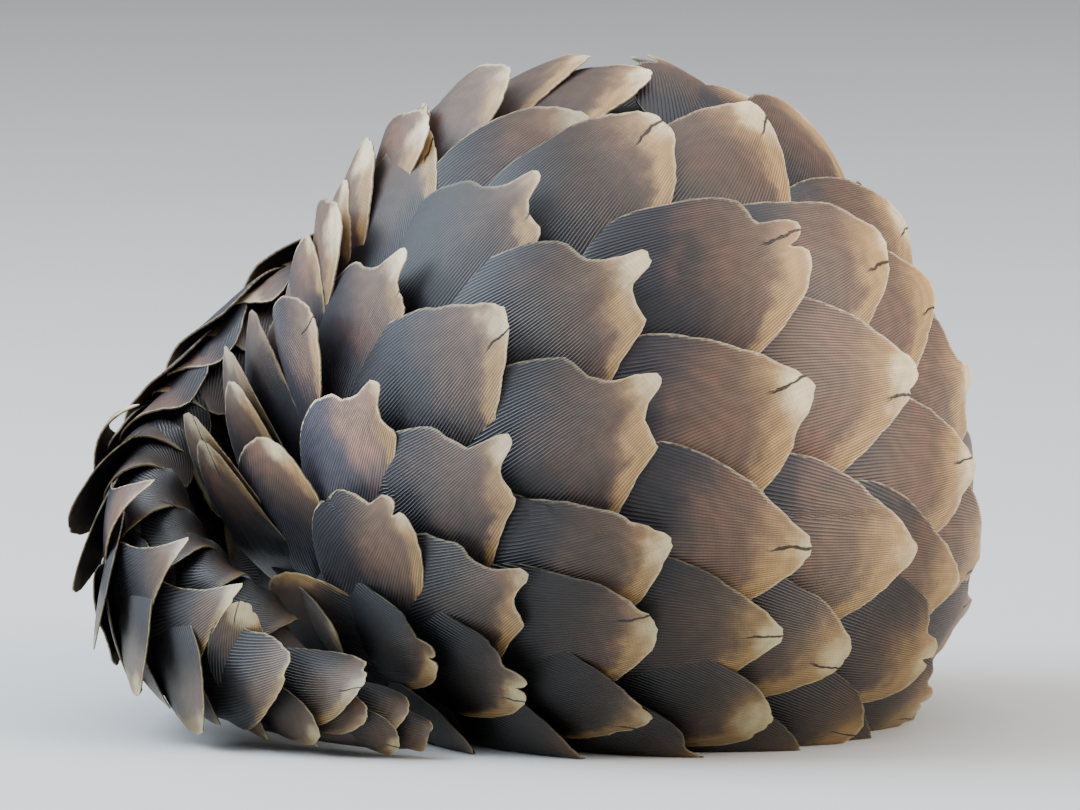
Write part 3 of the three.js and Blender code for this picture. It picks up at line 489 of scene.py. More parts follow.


# %% [markdown]
# Three groups need their own places. In the crevice beside the tail the scales of the shoulder stand
# away from the body like blades. On top of the ball, round the pole where all longitudes meet, the
# scales are placed by their angles from the pole. The tail carries its scales in rings, and the ones
# near its tip, which the photograph shows, are placed one by one.

# %% Scales of the crevice, the crown and the tail
# Longitude, latitude, heading, length, width, lift, and dirt and painted shade of the scales that stand up
# along the left
BLADES = [
    (-69.6, 62.4, 73, 76, 48, 20, 0), (-69.7, 53.1, 72, 78, 50, 23, 0), (-73.3, 47.5, 71, 74, 46, 20, 0),
    (-60, 40.7, 34, 74, 46, 21, 0), (-71.8, 37.8, 74, 70, 46, 19, 0), (-75.2, 33.8, 75, 66, 42, 17, 0),
    (-76.5, 26.5, 80, 62, 40, 17, 0.2), (-54.5, 26.5, 34, 66, 44, 21, 0),
    (-60.6, 10.5, 75, 60, 46, 18, 0), (-73.7, 16.6, 83, 60, 30, 26, 0.3),
    (-74, 11.8, 88, 64, 28, 40, 0.7), (-71.2, 8.8, 84, 62, 28, 34, 0.7),
    (-79.8, 21.3, 83, 62, 30, 33, 0.7), (-79.2, 26.9, 79, 60, 34, 28, 0.8),
    (-92, 22, 100, 60, 32, 28, 0.9), (-90, -4, 120, 56, 32, 26, 0.9), (-86, 14, 112, 62, 36, 22, 0.9),
    (-98, 34, 96, 60, 36, 18, 0.9), (-98, 8, 108, 54, 38, 14, 0.9), (-70, -18, 140, 44, 34, 18, 0.6),
    (-53.8, 57.7, 36, 80, 40, 21, 0), (-48.6, 72, 50, 80, 44, 19, 0), (-8, 66, 52, 80, 60, 7, 0.6),
]
BLADE_GROWTH = {"wrap": 0.5, "roll": 9.0}
# Degrees from the pole to the right and to the back, heading, length, width, lift, and dirt and painted shade
CROWN = [
    (-29, -15, 36, 84, 50, 18, 0), (-16, -5, 22, 86, 54, 18, 0), (-3, -1, 14, 84, 54, 16, 0),
    (6, -11, 16, 82, 54, 14, 0), (12, 8, 48, 64, 50, 9, 0), (23, 5, 84, 62, 50, 11, 0),
    (9, 20, 148, 62, 50, 11, 0), (-15, 19, 200, 62, 48, 11, 0), (-28, -2, 24, 78, 50, 16, 0),
]
# The crown's scales are painted darker, as shade against the light from overhead
CROWN_PAINTED_SHADE = 0.45
# The rows of the tail above this latitude have narrow scales
UPPER_ROWS = 45
TAIL_FIRST, TAIL_LAST, TAIL_PITCH, TAIL_HALF_HEIGHT = 206, 328, 28, 40
TAIL_SIZES, TAIL_WIDTH_POWER = (0.45, 1.3), 0.7
TAIL_GROWTH = {"sink": 4, "wrap": 0.5, "rise": 1.7}
TAIL_SCATTER, TAIL_MEASURES = (0.7, 2, 5), (0.94, 1.06)
# Latitude, heading, length, width, lift and last longitude of the rows of the tail, how far each stands
# ahead of its ring, and its dirt and painted shade
TAIL_ROWS = [
    (76, 8, 58, 56, 4, 264, 0, 0.4), (20, 4, 66, 52, 8, 272, 0.5, 0), (-18, -10, 64, 50, 6, 270, 0, 0),
    (-58, -14, 52, 40, 3, 320, 0.5, 0), (120, 30, 52, 44, 5, 308, 0.4, 1),
    (160, 10, 52, 44, 5, 308, 0, 1), (196, 0, 50, 44, 5, 304, 0.5, 1), (50, 6, 62, 54, 6, 264, 0.5, 0),
]
# The scales of the tail that the front shows: longitude, latitude, heading, length, width, lift, outline
TAIL_FRONT = [
    (268, 87, 56, 54, 40, 17, "flag"), (285.3, 81.7, 42, 54, 42, 17, "flag"),
    (294.9, 70.8, 40, 54, 42, 16, "flag"), (303.1, 64.6, 46, 54, 44, 15, "flag"),
    (311.6, 38.1, 32, 50, 40, 14, "squared"), (320.3, 58, 14, 46, 28, 11, "leaf"),
    (274, 24, -20, 56, 36, 14, "leaf"), (279, 0, -30, 58, 36, 13, "leaf"),
    (285, -20, -38, 58, 34, 14, "leaf"), (292.5, -34, -40, 60, 36, 14, "leaf"),
    (301.1, -42, -22, 54, 40, 13, "leaf"), (322, 20, 6, 46, 20, 7, "leaf"),
    (316, -22, 0, 48, 24, 6, "leaf"), (303.8, 60, 118, 34, 24, 13, "leaf"),
    (326, 50, 4, 32, 22, 5, "leaf"), (326, -20, 0, 32, 20, 4, "leaf"), (330, 20, 0, 26, 18, 3, "leaf"),
]


def placed(table, surface, style, **own):
    specs = []
    for a, b, heading, length, width, lift, stain in table:
        specs.append(scale_spec(surface, (a, b, heading), (length, width), lift, style, stain=stain, **own))
    return specs


def tail_scales():
    specs = []
    for *place, length, width, lift, style in TAIL_FRONT:
        specs.append(scale_spec(tail_surface, place, (length, width), lift, style, **TAIL_GROWTH))
    at = TAIL_FIRST
    while at < TAIL_LAST:
        size = limited(height_at(TAIL, at) / 2 / TAIL_HALF_HEIGHT, *TAIL_SIZES)
        radius = stations_at(TAIL, [min(at, TAIL[-1, 0])])[0][1]
        step = math.degrees(TAIL_PITCH * size**0.5 / radius)
        for latitude, heading, length, width, lift, last, ahead, stain in TAIL_ROWS:
            here = at + step * ahead
            if here > last:
                continue
            place = scattered((here, latitude, heading), TAIL_SCATTER)
            measures = (length * math.sqrt(size) * draws.uniform(*TAIL_MEASURES),
                        width * size**TAIL_WIDTH_POWER * draws.uniform(*TAIL_MEASURES))
            style = "leaf" if latitude > UPPER_ROWS else style_of()
            specs.append(scale_spec(tail_surface, place, measures, lift * math.sqrt(size), style,
                                    stain=stain, **TAIL_GROWTH))
        at += step
    return specs


# %% [markdown]
# The frame has one solid for each length of the body. A scale belongs to the length that it grows from,
# so the script walks from its tip to its root and reads the longitude there.

# %% Which length of the body carries each scale
# The longitude at which each length begins
LENGTHS = {
    "shoulders": -106, "upper_back": -40, "middle_back": 12, "lower_back": 62, "loin": 112, "rump": 160,
    "tail_root": 205, "tail_upper": 236, "tail_middle": 262, "tail_lower": 286, "tail_tip": 308,
}
TRUNK_LENGTHS = 6
ROOT_SHARE = 0.62
# The turn round the axis is counted on from these longitudes
COUNTED_FROM = {trunk_surface: -150, crown_surface: -106, tail_surface: 170}


def root_longitude(spec):
    surface = spec["surface"]
    one = np.ones(1)
    tip, heading = start_at(surface, one * spec["longitude"], one * spec["latitude"], spec["heading"])
    back, _ = walk(surface, tip, heading, one * -ROOT_SHARE * spec["length"], STEPS_BACK)
    x, y, _ = back["place"][0] - AXIS
    longitude = math.degrees(math.atan2(x, -y / DEPTH_RATIO))
    return longitude + 360 if longitude < COUNTED_FROM[surface] else longitude


def sort_scales():
    """The scales by the length of the body that they grow from."""
    groups = {name: [] for name in LENGTHS}
    trunk = trunk_scales()
    trunk += placed(BLADES, trunk_surface, "leaf", **BLADE_GROWTH)
    trunk += placed(CROWN, crown_surface, "squared", tone=CROWN_PAINTED_SHADE)
    names = list(LENGTHS)
    for specs, homes in ((trunk, names[:TRUNK_LENGTHS]), (tail_scales(), names[TRUNK_LENGTHS:])):
        for spec in specs:
            root = root_longitude(spec)
            begun = [name for name in homes if root >= LENGTHS[name]]
            groups[begun[-1] if begun else homes[0]].append(spec)
    return groups


groups = sort_scales()
print("scales by length:", {name: len(specs) for name, specs in groups.items()})

# %% [markdown]
# Every material here is made by nodes. A small class keeps them short to write: each of its functions
# adds one kind of node, or a few, and gives back the socket that holds the result.

# %% Helpers for materials


class Graph:
    """A short way to write a material's nodes."""

    def __init__(self, name):
        self.material = bpy.data.materials.new(name)
        self.material.use_nodes = True
        self.tree = self.material.node_tree
        self.shader = self.tree.nodes["Principled BSDF"]

    def put(self, socket, value):
        if isinstance(value, bpy.types.NodeSocket):
            self.tree.links.new(value, socket)
        elif value is not None:
            socket.default_value = value

    def set(self, name, value):
        self.put(self.shader.inputs[name], value)

    def node(self, kind, inputs=None, **settings):
        made = self.tree.nodes.new("ShaderNode" + kind)
        for key, value in settings.items():
            setattr(made, key, value)
        for key, value in (inputs or {}).items():
            self.put(made.inputs[key], value)
        return made

    def math(self, operation, *values):
        return self.node("Math", dict(enumerate(values)), operation=operation).outputs[0]

    def plus(self, a, b):
        return self.math("ADD", a, b)

    def times(self, a, b):
        return self.math("MULTIPLY", a, b)

    def fit(self, value, factor, start):
        return self.math("MULTIPLY_ADD", value, factor, start)

    def stray(self, value, noise, amount):
        """A value moved up and down by a noise."""
        return self.plus(value, self.fit(noise, amount, -amount / 2))

    def wave(self, phase):
        return self.fit(self.math("SINE", phase), 0.5, 0.5)

    def ramp(self, value, low, high):
        return self.node("MapRange", {"Value": value, "From Min": low, "From Max": high},
                         interpolation_type="SMOOTHSTEP").outputs["Result"]

    def mix(self, factor, first, second, blend="MIX"):
        return self.node("Mix", {0: factor, 6: first, 7: second}, data_type="RGBA",
                         blend_type=blend).outputs[2]

    def shaded(self, colour, shade, blue=None):
        """A colour made darker by a shade, which may be another one for the blue."""
        blue = shade if blue is None else blue
        grey = self.node("CombineColor", {"Red": shade, "Green": shade, "Blue": blue}).outputs[0]
        return self.mix(1.0, colour, grey, "MULTIPLY")

    def solid(self):
        return self.node("TexCoord").outputs["Object"]

    def noise(self, vector, scale, detail=3.0, rough=0.5):
        return self.node("TexNoise", {"Vector": vector, "Scale": scale, "Detail": detail,
                                      "Roughness": rough}).outputs["Fac"]

    def attribute(self, name):
        return self.node("Attribute", attribute_name=name).outputs["Fac"]

    def separate(self, vector):
        return self.node("SeparateXYZ", {"Vector": vector}).outputs

    def finish(self, colour, roughness, heights):
        """Colour and roughness, and bumps as pairs of height and depth in metres."""
        self.set("Base Color", colour)
        self.set("Roughness", roughness)
        normal = None
        for height, depth in heights:
            normal = self.node("Bump", {"Height": height, "Distance": depth, "Strength": 1.0,
                                        "Normal": normal}).outputs["Normal"]
        self.set("Normal", normal)
        return self.material


def rgb(red, green, blue):
    return (red, green, blue, 1.0)


# %% [markdown]
# Fine ridges of growth meet beyond the tip of each scale, so they are angles round a point there, read
# from the scale's own map. The colour runs from slate at the root, through brown, to worn horn along the
# free edge and at the tip; the slate next to the covering scale is partly painted shade. Ridges, lines of
# growth, streaks and cracks then darken it in turn, and so do painted shade on the undersides and in the
# crevice, and dirt with painted shade near the ground.

# %% Keratin
# The point where the ridges meet, a scale's half width as a share of its length, and the ridges' angle
FOCUS, ASPECT, RIDGE_ANGLE = 1.55, 0.37, 0.0122
RIDGE_WOBBLE, RIDGE_POWER, SMOOTH_TIP, RIDGES_AT_TIP = 5.0, 2.2, (1.06, 0.86), 0.1
CROSSINGS, CROSSING_WOBBLE, GROWTH_LINES, GROWTH_WOBBLE = 420.0, 0.05, 58.0, 0.30
RUST = rgb(0.25, 0.125, 0.085)
# Slate, at the root, is made dark partly as painted shade where the scale in front covers it
SLATE = rgb(0.038, 0.036, 0.048)
BROWN = rgb(0.192, 0.116, 0.078)
OCHRE = rgb(0.53, 0.32, 0.13)
CREAM = rgb(0.86, 0.71, 0.45)
# Scale, detail and roughness of the noises
WOBBLE, MOTTLE, BLOTCH = (55.0, 2.0), (30.0, 5.0, 0.62), (95.0, 4.0, 0.6)
GRIT, RUSTY, STREAKY = (520.0, 3.0, 0.6), (62.0, 3.0, 0.6), (3.0, )
# How far a noise shifts the edges of the ridges, of each colour, of the cracks and of the dirt and painted
# shade near the ground
TIP_BLUR, EDGE_BLUR, LOW_BLUR, CREAM_BLUR = 0.16, 0.14, 0.3, 0.12
RIM_BLUR, CRACK_BLUR, DIRT_AND_SHADE_BLUR = 0.04, 0.16, 0.06
# How far its left side, a noise, its own age, and painted light that grows from left to right move a scale's
# colours
LEFT_SIDE, MOTTLED_BY, AGED_BY, PAINTED_LIGHT_TO_RIGHT = -0.07, 0.34, 0.16, (1.2, -0.07)
# The ranges over which one colour passes into the next
TO_BROWN, TO_RUST, RUST_PATCH = (0.30, 0.66), (0.2, 0.7), (0.46, 0.70)
TO_OCHRE, TO_CREAM, TO_RIM, RIM_SHARE = (0.76, 1.02), (0.86, 1.0), (0.978, 0.998), 0.6
LOW_SIDE, LOW_WORN, LOW_SHARE = (0.25, -0.7), (0.74, 1.02), 0.40
AGED_SHARE, WORN_SHARE, TONE_FADE = 0.80, 0.22, (1.0, 0.6)
STREAKS = 30.0
CRACK_SPREAD, CRACK_LINE, CRACK_FROM = (0.5, -0.32), 0.006, (0.82, 0.87)
# Dirt and painted shade lie below this height in metres, and they take away some of the blue
DARK_BELOW, BLUE_LOSS = 0.13, (-0.22, 1.0)
# How far each mark changes the brightness of the horn, and the value that it starts from
MARKS = {"ridges": (-0.60, 1.06), "crossing": (-0.08, 1.0), "growth": (-0.17, 1.06), "streaks": (0.5, 0.76),
         "crack": (-0.93, 1.0), "underside": (-0.72, 1.0), "stain": (-0.58, 1.0)}
RIDGE_DEPTH, GRIT_DEPTH, CRACK_DEPTH = 0.00018, 0.00006, 0.0008
HORN_ROUGH, HORN_COAT, COAT_ROUGH = (0.16, 0.36), 0.08, 0.36


def make_keratin():
    g = Graph("keratin")
    place = g.separate(g.node("UVMap", uv_map="Plate").outputs["UV"])
    along, across = place["X"], g.fit(place["Y"], 4.0, -2.0)
    own_node = g.node("Attribute", attribute_name="Own")
    own = g.node("SeparateColor", {"Color": own_node.outputs["Color"]}).outputs
    worn = g.attribute("Worn")
    solid = g.solid()
    x, _, z = g.separate(solid)
    wobble, mottle, blotch, grit = (g.noise(solid, *kind) for kind in (WOBBLE, MOTTLE, BLOTCH, GRIT))

    # Fine ridges run to the focus, and fainter lines of growth cross them
    spread = g.times(across, ASPECT)
    angle = g.math("ARCTAN2", spread, g.math("SUBTRACT", FOCUS, along))
    lines = g.times(angle, g.attribute("Fine"))
    phase = g.plus(g.times(lines, 2 * math.pi / RIDGE_ANGLE), g.times(wobble, RIDGE_WOBBLE))
    below_tip = g.ramp(g.plus(along, g.times(blotch, TIP_BLUR)), *SMOOTH_TIP)
    ridges = g.times(g.math("POWER", g.wave(phase), RIDGE_POWER),
                     g.fit(below_tip, 1 - RIDGES_AT_TIP, RIDGES_AT_TIP))
    crossing = g.wave(g.times(g.plus(along, g.times(wobble, CROSSING_WOBBLE)), CROSSINGS))
    growth = g.wave(g.times(g.plus(worn, g.times(wobble, GROWTH_WOBBLE)), GROWTH_LINES))

    # The colour goes by the distance to the tip, and is paler along the lower edge
    tip_far = g.math("SQRT", g.plus(g.math("POWER", g.math("SUBTRACT", 1.0, along), 2.0),
                                    g.math("POWER", spread, 2.0)))
    near = g.plus(g.math("SUBTRACT", 1.0, tip_far), g.times(across, LEFT_SIDE))
    near = g.stray(g.stray(near, mottle, MOTTLED_BY), own["Red"], AGED_BY)
    # The right side is painted paler and warmer, as painted light
    aged_and_lit = g.plus(near, g.fit(x, *PAINTED_LIGHT_TO_RIGHT))
    low_edge = g.times(g.ramp(across, *LOW_SIDE), g.ramp(g.stray(worn, blotch, LOW_BLUR), *LOW_WORN))
    edge = g.plus(g.times(aged_and_lit, AGED_SHARE), g.times(worn, WORN_SHARE))
    edge = g.stray(g.plus(edge, g.times(low_edge, LOW_SHARE)), blotch, EDGE_BLUR)
    rust = g.times(g.ramp(g.noise(solid, *RUSTY), *RUST_PATCH), g.ramp(aged_and_lit, *TO_RUST))
    body = g.mix(g.ramp(aged_and_lit, *TO_BROWN), SLATE, BROWN)
    body = g.mix(rust, body, RUST)
    body = g.mix(g.ramp(edge, *TO_OCHRE), body, OCHRE)
    body = g.mix(g.ramp(g.stray(near, blotch, CREAM_BLUR), *TO_CREAM), body, CREAM)
    body = g.mix(g.times(g.ramp(g.stray(worn, grit, RIM_BLUR), *TO_RIM), RIM_SHARE), body, CREAM)

    # Some tips have split along the grain, and the scales near the ground are darker, partly dirt and partly
    # painted shade
    crack_at = g.fit(own["Green"], *CRACK_SPREAD)
    crack_off = g.math("ABSOLUTE", g.math("SUBTRACT", g.stray(across, blotch, CRACK_BLUR), crack_at))
    crack = g.times(g.ramp(crack_off, CRACK_LINE * 3, CRACK_LINE), g.ramp(along, *CRACK_FROM))
    crack = g.times(crack, g.attribute("Split"))
    stain = g.ramp(g.stray(z, mottle, DIRT_AND_SHADE_BLUR), DARK_BELOW, 0.0)
    grain = g.node("CombineXYZ", {"X": g.times(angle, STREAKS), "Y": along, "Z": own["Blue"]}).outputs[0]
    # The underside mark is painted shade under every scale, and dirt with painted shade on the scales in the
    # crevice
    marks = {"ridges": ridges, "crossing": crossing, "growth": growth, "streaks": g.noise(grain, *STREAKY),
             "crack": crack, "underside": g.attribute("Under"), "stain": stain}
    # Each scale has a tone, mostly painted light and shade by its place, which fades towards its pale tip
    tone = g.math("SUBTRACT", own_node.outputs["Alpha"], 1.0)
    dark = g.fit(tone, g.ramp(edge, *TONE_FADE), 1.0)
    for name, (factor, start) in MARKS.items():
        dark = g.times(dark, g.fit(marks[name], factor, start))
    blue = g.times(dark, g.fit(stain, *BLUE_LOSS))
    g.set("Coat Weight", HORN_COAT)
    g.set("Coat Roughness", COAT_ROUGH)
    return g.finish(g.shaded(body, dark, blue), g.fit(grit, *HORN_ROUGH), [
        (g.times(ridges, -1.0), RIDGE_DEPTH), (grit, GRIT_DEPTH), (g.times(crack, -1.0), CRACK_DEPTH)])


keratin = make_keratin()

# %% [markdown]
# The copies of one length of the body are joined into one piece, so that there is one piece for each
# length in the frame. Each copy has its own patch in the map that a bake would use, with its top and
# its underside beside one another.

# %% Build the pieces of scales
RIM_PUSH = 1.03
PATCH_SIZE, PATCH_START, PATCH_MIDDLE = np.array([1.1, 2.6]), np.array([0, 0.5]), np.array([0.45, 0.5])
TOP_START, TOP_SIZE = np.array([0.02, 0.02]), np.array([0.58, 0.94])
UNDER_START, UNDER_SIZE = np.array([0.64, 0.3]), np.array([0.3, 0.4])
BOX_MARGIN = 0.2
BOX_LOW = np.array(cad_box[0]) / MM + BOX_MARGIN
BOX_HIGH = np.array(cad_box[1]) / MM - BOX_MARGIN
SHARP_SCALE, SHARP_SKIN = 40, 50


def set_values(mesh, name, values):
    """One number for each vertex, which a material reads by its name."""
    mesh.attributes.new(name, "FLOAT", "POINT").data.foreach_set("value", values)


def faces_of(mesh):
    sizes = np.empty(len(mesh.polygons), int)
    mesh.polygons.foreach_get("loop_total", sizes)
    corners = np.empty(len(mesh.loops), int)
    mesh.loops.foreach_get("vertex_index", corners)
    return sizes, corners


FACE_SIZES, FACE_CORNERS = faces_of(flat_plate.data)
LOOP_FACE = np.repeat(np.arange(len(FACE_SIZES)), FACE_SIZES)
# How much of the face that a corner belongs to is on top: all, none, or some of it on a wall
TOP_SHARE = (np.bincount(LOOP_FACE, weights=ON_TOP[FACE_CORNERS]) / FACE_SIZES)[LOOP_FACE][:, None]
WALL_FOOT = (TOP_SHARE > 0) & (TOP_SHARE < 1) & ~ON_TOP[FACE_CORNERS][:, None]


def bake_patch(places, cell, cells):
    """The corners of one scale on the bake's map: its top and its underside beside one another."""
    share = np.clip(places / PATCH_SIZE + PATCH_START, 0, 1)[FACE_CORNERS]
    share = np.where(WALL_FOOT, PATCH_MIDDLE + (share - PATCH_MIDDLE) * RIM_PUSH, share)
    share = np.where(TOP_SHARE == 0, UNDER_START + share * UNDER_SIZE, TOP_START + share * TOP_SIZE)
    row, column = divmod(cell, cells)
    return (share + (column, row)) / cells


def add_piece(name, mesh, sharp=None):
    """Puts a mesh, a camera or a lamp in the scene. A mesh stays sharp over this angle in degrees."""
    piece = bpy.data.objects.new(name, mesh)
    bpy.context.scene.collection.objects.link(piece)
    if sharp:
        select(piece)
        bpy.ops.object.shade_smooth_by_angle(angle=math.radians(sharp))
    return piece


def build_scales(name, specs):
    cells = math.ceil(math.sqrt(len(specs)))
    count = len(flat)
    copies = []
    for index, spec in enumerate(specs):
        laid, places, reach = lay_scale(spec)
        copies.append({
            "co": np.clip(laid, BOX_LOW, BOX_HIGH) * MM,
            "corners": FACE_CORNERS + index * count,
            "Plate": np.stack([places[:, 0], places[:, 1] / 4 + 0.5], axis=-1)[FACE_CORNERS],
            "OFBake": bake_patch(places, index, cells),
            "Own": np.tile([draws.uniform(), draws.uniform(), draws.uniform(), spec["tone"]], (count, 1)),
            "Worn": reach,
            "Split": np.full(count, spec["split"]),
            # Undersides get full painted shade, and tops their own dirt and painted shade
            "Under": np.where(ON_TOP, spec["stain"], 1.0),
            "Fine": np.full(count, spec["length"] / FULL_LENGTH),
        })
    whole = {key: np.concatenate([copy[key] for copy in copies]) for key in copies[0]}
    starts = np.concatenate([[0], np.cumsum(np.tile(FACE_SIZES, len(specs)))[:-1]])
    mesh = bpy.data.meshes.new(name)
    mesh.vertices.add(len(whole["co"]))
    mesh.vertices.foreach_set("co", whole["co"].ravel())
    mesh.loops.add(len(whole["corners"]))
    mesh.loops.foreach_set("vertex_index", whole["corners"])
    mesh.polygons.add(len(starts))
    mesh.polygons.foreach_set("loop_start", starts.astype(np.int32))
    mesh.update(calc_edges=True)
    for key in ("Plate", "OFBake"):
        mesh.uv_layers.new(name=key).data.foreach_set("uv", whole[key].ravel())
    for key in ("Worn", "Split", "Under", "Fine"):
        set_values(mesh, key, whole[key])
    mesh.attributes.new("Own", "FLOAT_COLOR", "POINT").data.foreach_set("color", whole["Own"].ravel())
    mesh.validate()
    return add_piece(name, mesh, SHARP_SCALE)


def place_piece(piece, material, slot, *nodes):
    piece.data.materials.clear()
    piece.data.materials.append(material)
    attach(piece, "root")
    if nodes:
        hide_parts(*nodes)


for length_name, specs in groups.items():
    place_piece(build_scales(f"scales_{length_name}", specs), keratin, "scute", length_name)

# %% [markdown]
# The skin lies beneath the scales. One grid is wrapped over the whole body, a little inside it. Its
# material has small creases between soft cells, and a vertex attribute called Dusk paints shade into it in
# folds and openings, and here all over, because it lies in the shade of the scales.

# %% Skin of the body
SKIN_DEPTH, SKIN_FLOOR = 1.5, 0.3
SKIN_AROUND, SKIN_STEP = 48, 4
# First and last longitude of the rings on the trunk and on the tail
SKIN_SPANS = [(TRUNK, -106, 204), (TAIL, 207, 327)]
SKIN_MAP, CAP_MAP, CAP_PITCH, CAP_RADIUS = 0.92, (0.96, 0.1), 0.2, 0.03
# The last colour is painted shade, laid on where Dusk is high
SKIN_DARK, SKIN_PALE, SKIN_DUSK = rgb(0.150, 0.104, 0.086), rgb(0.255, 0.182, 0.148), rgb(0.045, 0.032, 0.028)
# Scale, detail and roughness of the noises
PATCHES, SWAY, PORES = (42.0, 4.0, 0.6), (300.0, 2.0), (1500.0, 2.0)
CELLS, SWAY_BY, CREASE_WIDE, CREASE_SHADE = 1500.0, (0.001, 0.001, 0.001), 0.22, (0.16, 0.84)
TO_PALE, DUSK_SHARE, SKIN_ROUGH = (0.35, 0.65), 0.85, 0.55
CREASE_DEPTH, PATCH_DEPTH, PORE_DEPTH = 0.00009, 0.0007, 0.00005


def make_skin_material():
    g = Graph("bare_skin")
    solid = g.solid()
    patches = g.noise(solid, *PATCHES)
    scale, detail = SWAY
    sway = g.node("TexNoise", {"Vector": solid, "Scale": scale, "Detail": detail}).outputs["Color"]
    sway = g.node("VectorMath", {0: sway, 1: SWAY_BY}, operation="MULTIPLY").outputs[0]
    bent = g.node("VectorMath", {0: solid, 1: sway}, operation="ADD").outputs[0]
    wrinkles = g.node("TexVoronoi", {"Vector": bent, "Scale": CELLS}, feature="DISTANCE_TO_EDGE")
    crease = g.ramp(wrinkles.outputs["Distance"], 0.0, CREASE_WIDE)
    base = g.mix(g.ramp(patches, *TO_PALE), SKIN_DARK, SKIN_PALE)
    base = g.mix(g.times(g.attribute("Dusk"), DUSK_SHARE), base, SKIN_DUSK)
    return g.finish(g.shaded(base, g.fit(crease, *CREASE_SHADE)), SKIN_ROUGH, [
        (crease, CREASE_DEPTH), (patches, PATCH_DEPTH), (g.noise(solid, *PORES), PORE_DEPTH)])


def add_rings(made, rings, bake=None):
    """Joins rings of points to a closed tube, with the bake's map if it has one, and gives its ends."""
    rows = [[made.verts.new(Vector(p * MM)) for p in ring] for ring in rings]
    sides = len(rows[0])
    for i, (a, b) in enumerate(zip(rows, rows[1:])):
        for j in range(sides):
            k = (j + 1) % sides
            face = made.faces.new((a[j], b[j], b[k], a[k]))
            if bake:
                for loop, (u, v) in zip(face.loops, ((i, j), (i + 1, j), (i + 1, j + 1), (i, j + 1))):
                    loop[bake].uv = (u / len(rows) * SKIN_MAP, v / sides)
    return [made.faces.new(rows[0]), made.faces.new(rows[-1][::-1])]


def mesh_of(made, name):
    bmesh.ops.recalc_face_normals(made, faces=made.faces)
    mesh = bpy.data.meshes.new(name)
    made.to_mesh(mesh)
    made.free()
    return mesh


def body_skin():
    latitudes = np.linspace(-90, 270, SKIN_AROUND, endpoint=False)
    rings = []
    for table, first, last in SKIN_SPANS:
        for longitude in np.linspace(first, last, int((last - first) / SKIN_STEP) + 1):
            ring = body_point(table, np.full(SKIN_AROUND, longitude), latitudes, SKIN_DEPTH)
            ring[:, 2] = np.maximum(ring[:, 2], SKIN_FLOOR)
            rings.append(ring)
    made = bmesh.new()
    bake = made.loops.layers.uv.new("OFBake")
    for corner, face in enumerate(add_rings(made, rings, bake)):
        for j, loop in enumerate(face.loops):
            turn = 2 * math.pi * j / SKIN_AROUND
            loop[bake].uv = (CAP_MAP[0] + CAP_RADIUS * math.cos(turn),
                             CAP_MAP[1] + corner * CAP_PITCH + CAP_RADIUS * math.sin(turn))
    mesh = mesh_of(made, "skin_under_scales")
    set_values(mesh, "Dusk", np.ones(len(mesh.vertices)))
    return add_piece("skin_under_scales", mesh, SHARP_SKIN)


bare_skin = make_skin_material()
place_piece(body_skin(), bare_skin, "skin")

# %% [markdown]
# The head, neck, legs and feet are bare skin, hidden in the hollow. Each one is a tube through the same
# stations as in the solids, on a smooth curve. The tubes are joined and remeshed to one skin, so that the
# seams melt together, and then the face is modelled on it: lids, ears, nostrils, mouth and folds.

# %% Tubes of the head, neck and legs, in millimetres
# Each station: place in x and y from the curl axis, height, half width and half depth
NECK = np.array([(-82.5, 14, 61, 40, 24), (-82, 26, 61, 35, 23.5), (-78, 38, 60, 30, 23)])
HEAD = np.array([
    (-77.8, 38.3, 60, 29, 23), (-74, 44, 59.5, 28.5, 23), (-66.5, 50.5, 59, 26.5, 21.5),
    (-56, 55, 58.5, 22.5, 18.5), (-45, 56.5, 58, 17.5, 15), (-34, 55, 57.5, 13, 11.5),
    (-25, 51.5, 57, 9.5, 8.5), (-19.5, 48, 56.5, 6.5, 6), (-17, 45.8, 56.5, 3.2, 3.2),
])
# The legs hold their heights from their own level
FORELEG = np.array([(-60, -22, 0, 17, 15), (-46, -14, 2, 16, 14), (-30.5, -8, 3, 14, 12.5),
                    (-17, 3, 1, 12.5, 11.5)])
FOREFOOT = np.array([(-16.8, 3.2, 1, 12.5, 11.5), (-12, 12, -2, 14, 11), (-9, 22, -5, 13.5, 9.5),
                     (-8, 28, -7, 11, 7)])
HINDLEG = np.array([(8, 62, -3, 21, 18), (17, 45, 1, 19, 17), (26, 28, 3, 16.5, 15), (30, 10, 2, 14, 13)])
HINDFOOT = np.array([(30, 9.7, 2, 14, 13), (30, -2, -1, 14.5, 12.5), (26, -13, -4, 14, 11),
                     (22, -20, -6, 11.5, 8.5)])
LEVELS = {"left": 33, "right": 121}
SIDES = {"left": -1, "right": 1}
# The tubes are a little thinner than the solids, so that the skin lies inside them
THINNER, INSET = 0.965, 0.5
TUBE_SIDES, BALL_SIDES, EYE_SIDES = 40, 32, 48


def level(stations, side):
    """The stations of a leg of one side: the right legs are the upper pair."""
    laid = stations.astype(float)
    laid[:, 2] = LEVELS[side] + SIDES[side] * stations[:, 2]
    return laid


def tube_frames(stations, at):
    """Place, directions and radii on the smooth curve through a tube's stations."""
    last = len(stations) - 1
    table = np.column_stack([np.arange(len(stations)), stations])
    at = np.clip(at, 0, last)
    here = stations_at(table, at)[:, 1:]
    step = 0.05
    ahead = stations_at(table, np.minimum(at + step, last))[:, 1:4]
    before = stations_at(table, np.maximum(at - step, 0))[:, 1:4]
    along = unit(ahead - before)
    side = unit(UP - along * along[:, 2:3])
    return here[:, :3] + AXIS, along, side, np.cross(side, along), here[:, 3], here[:, 4]


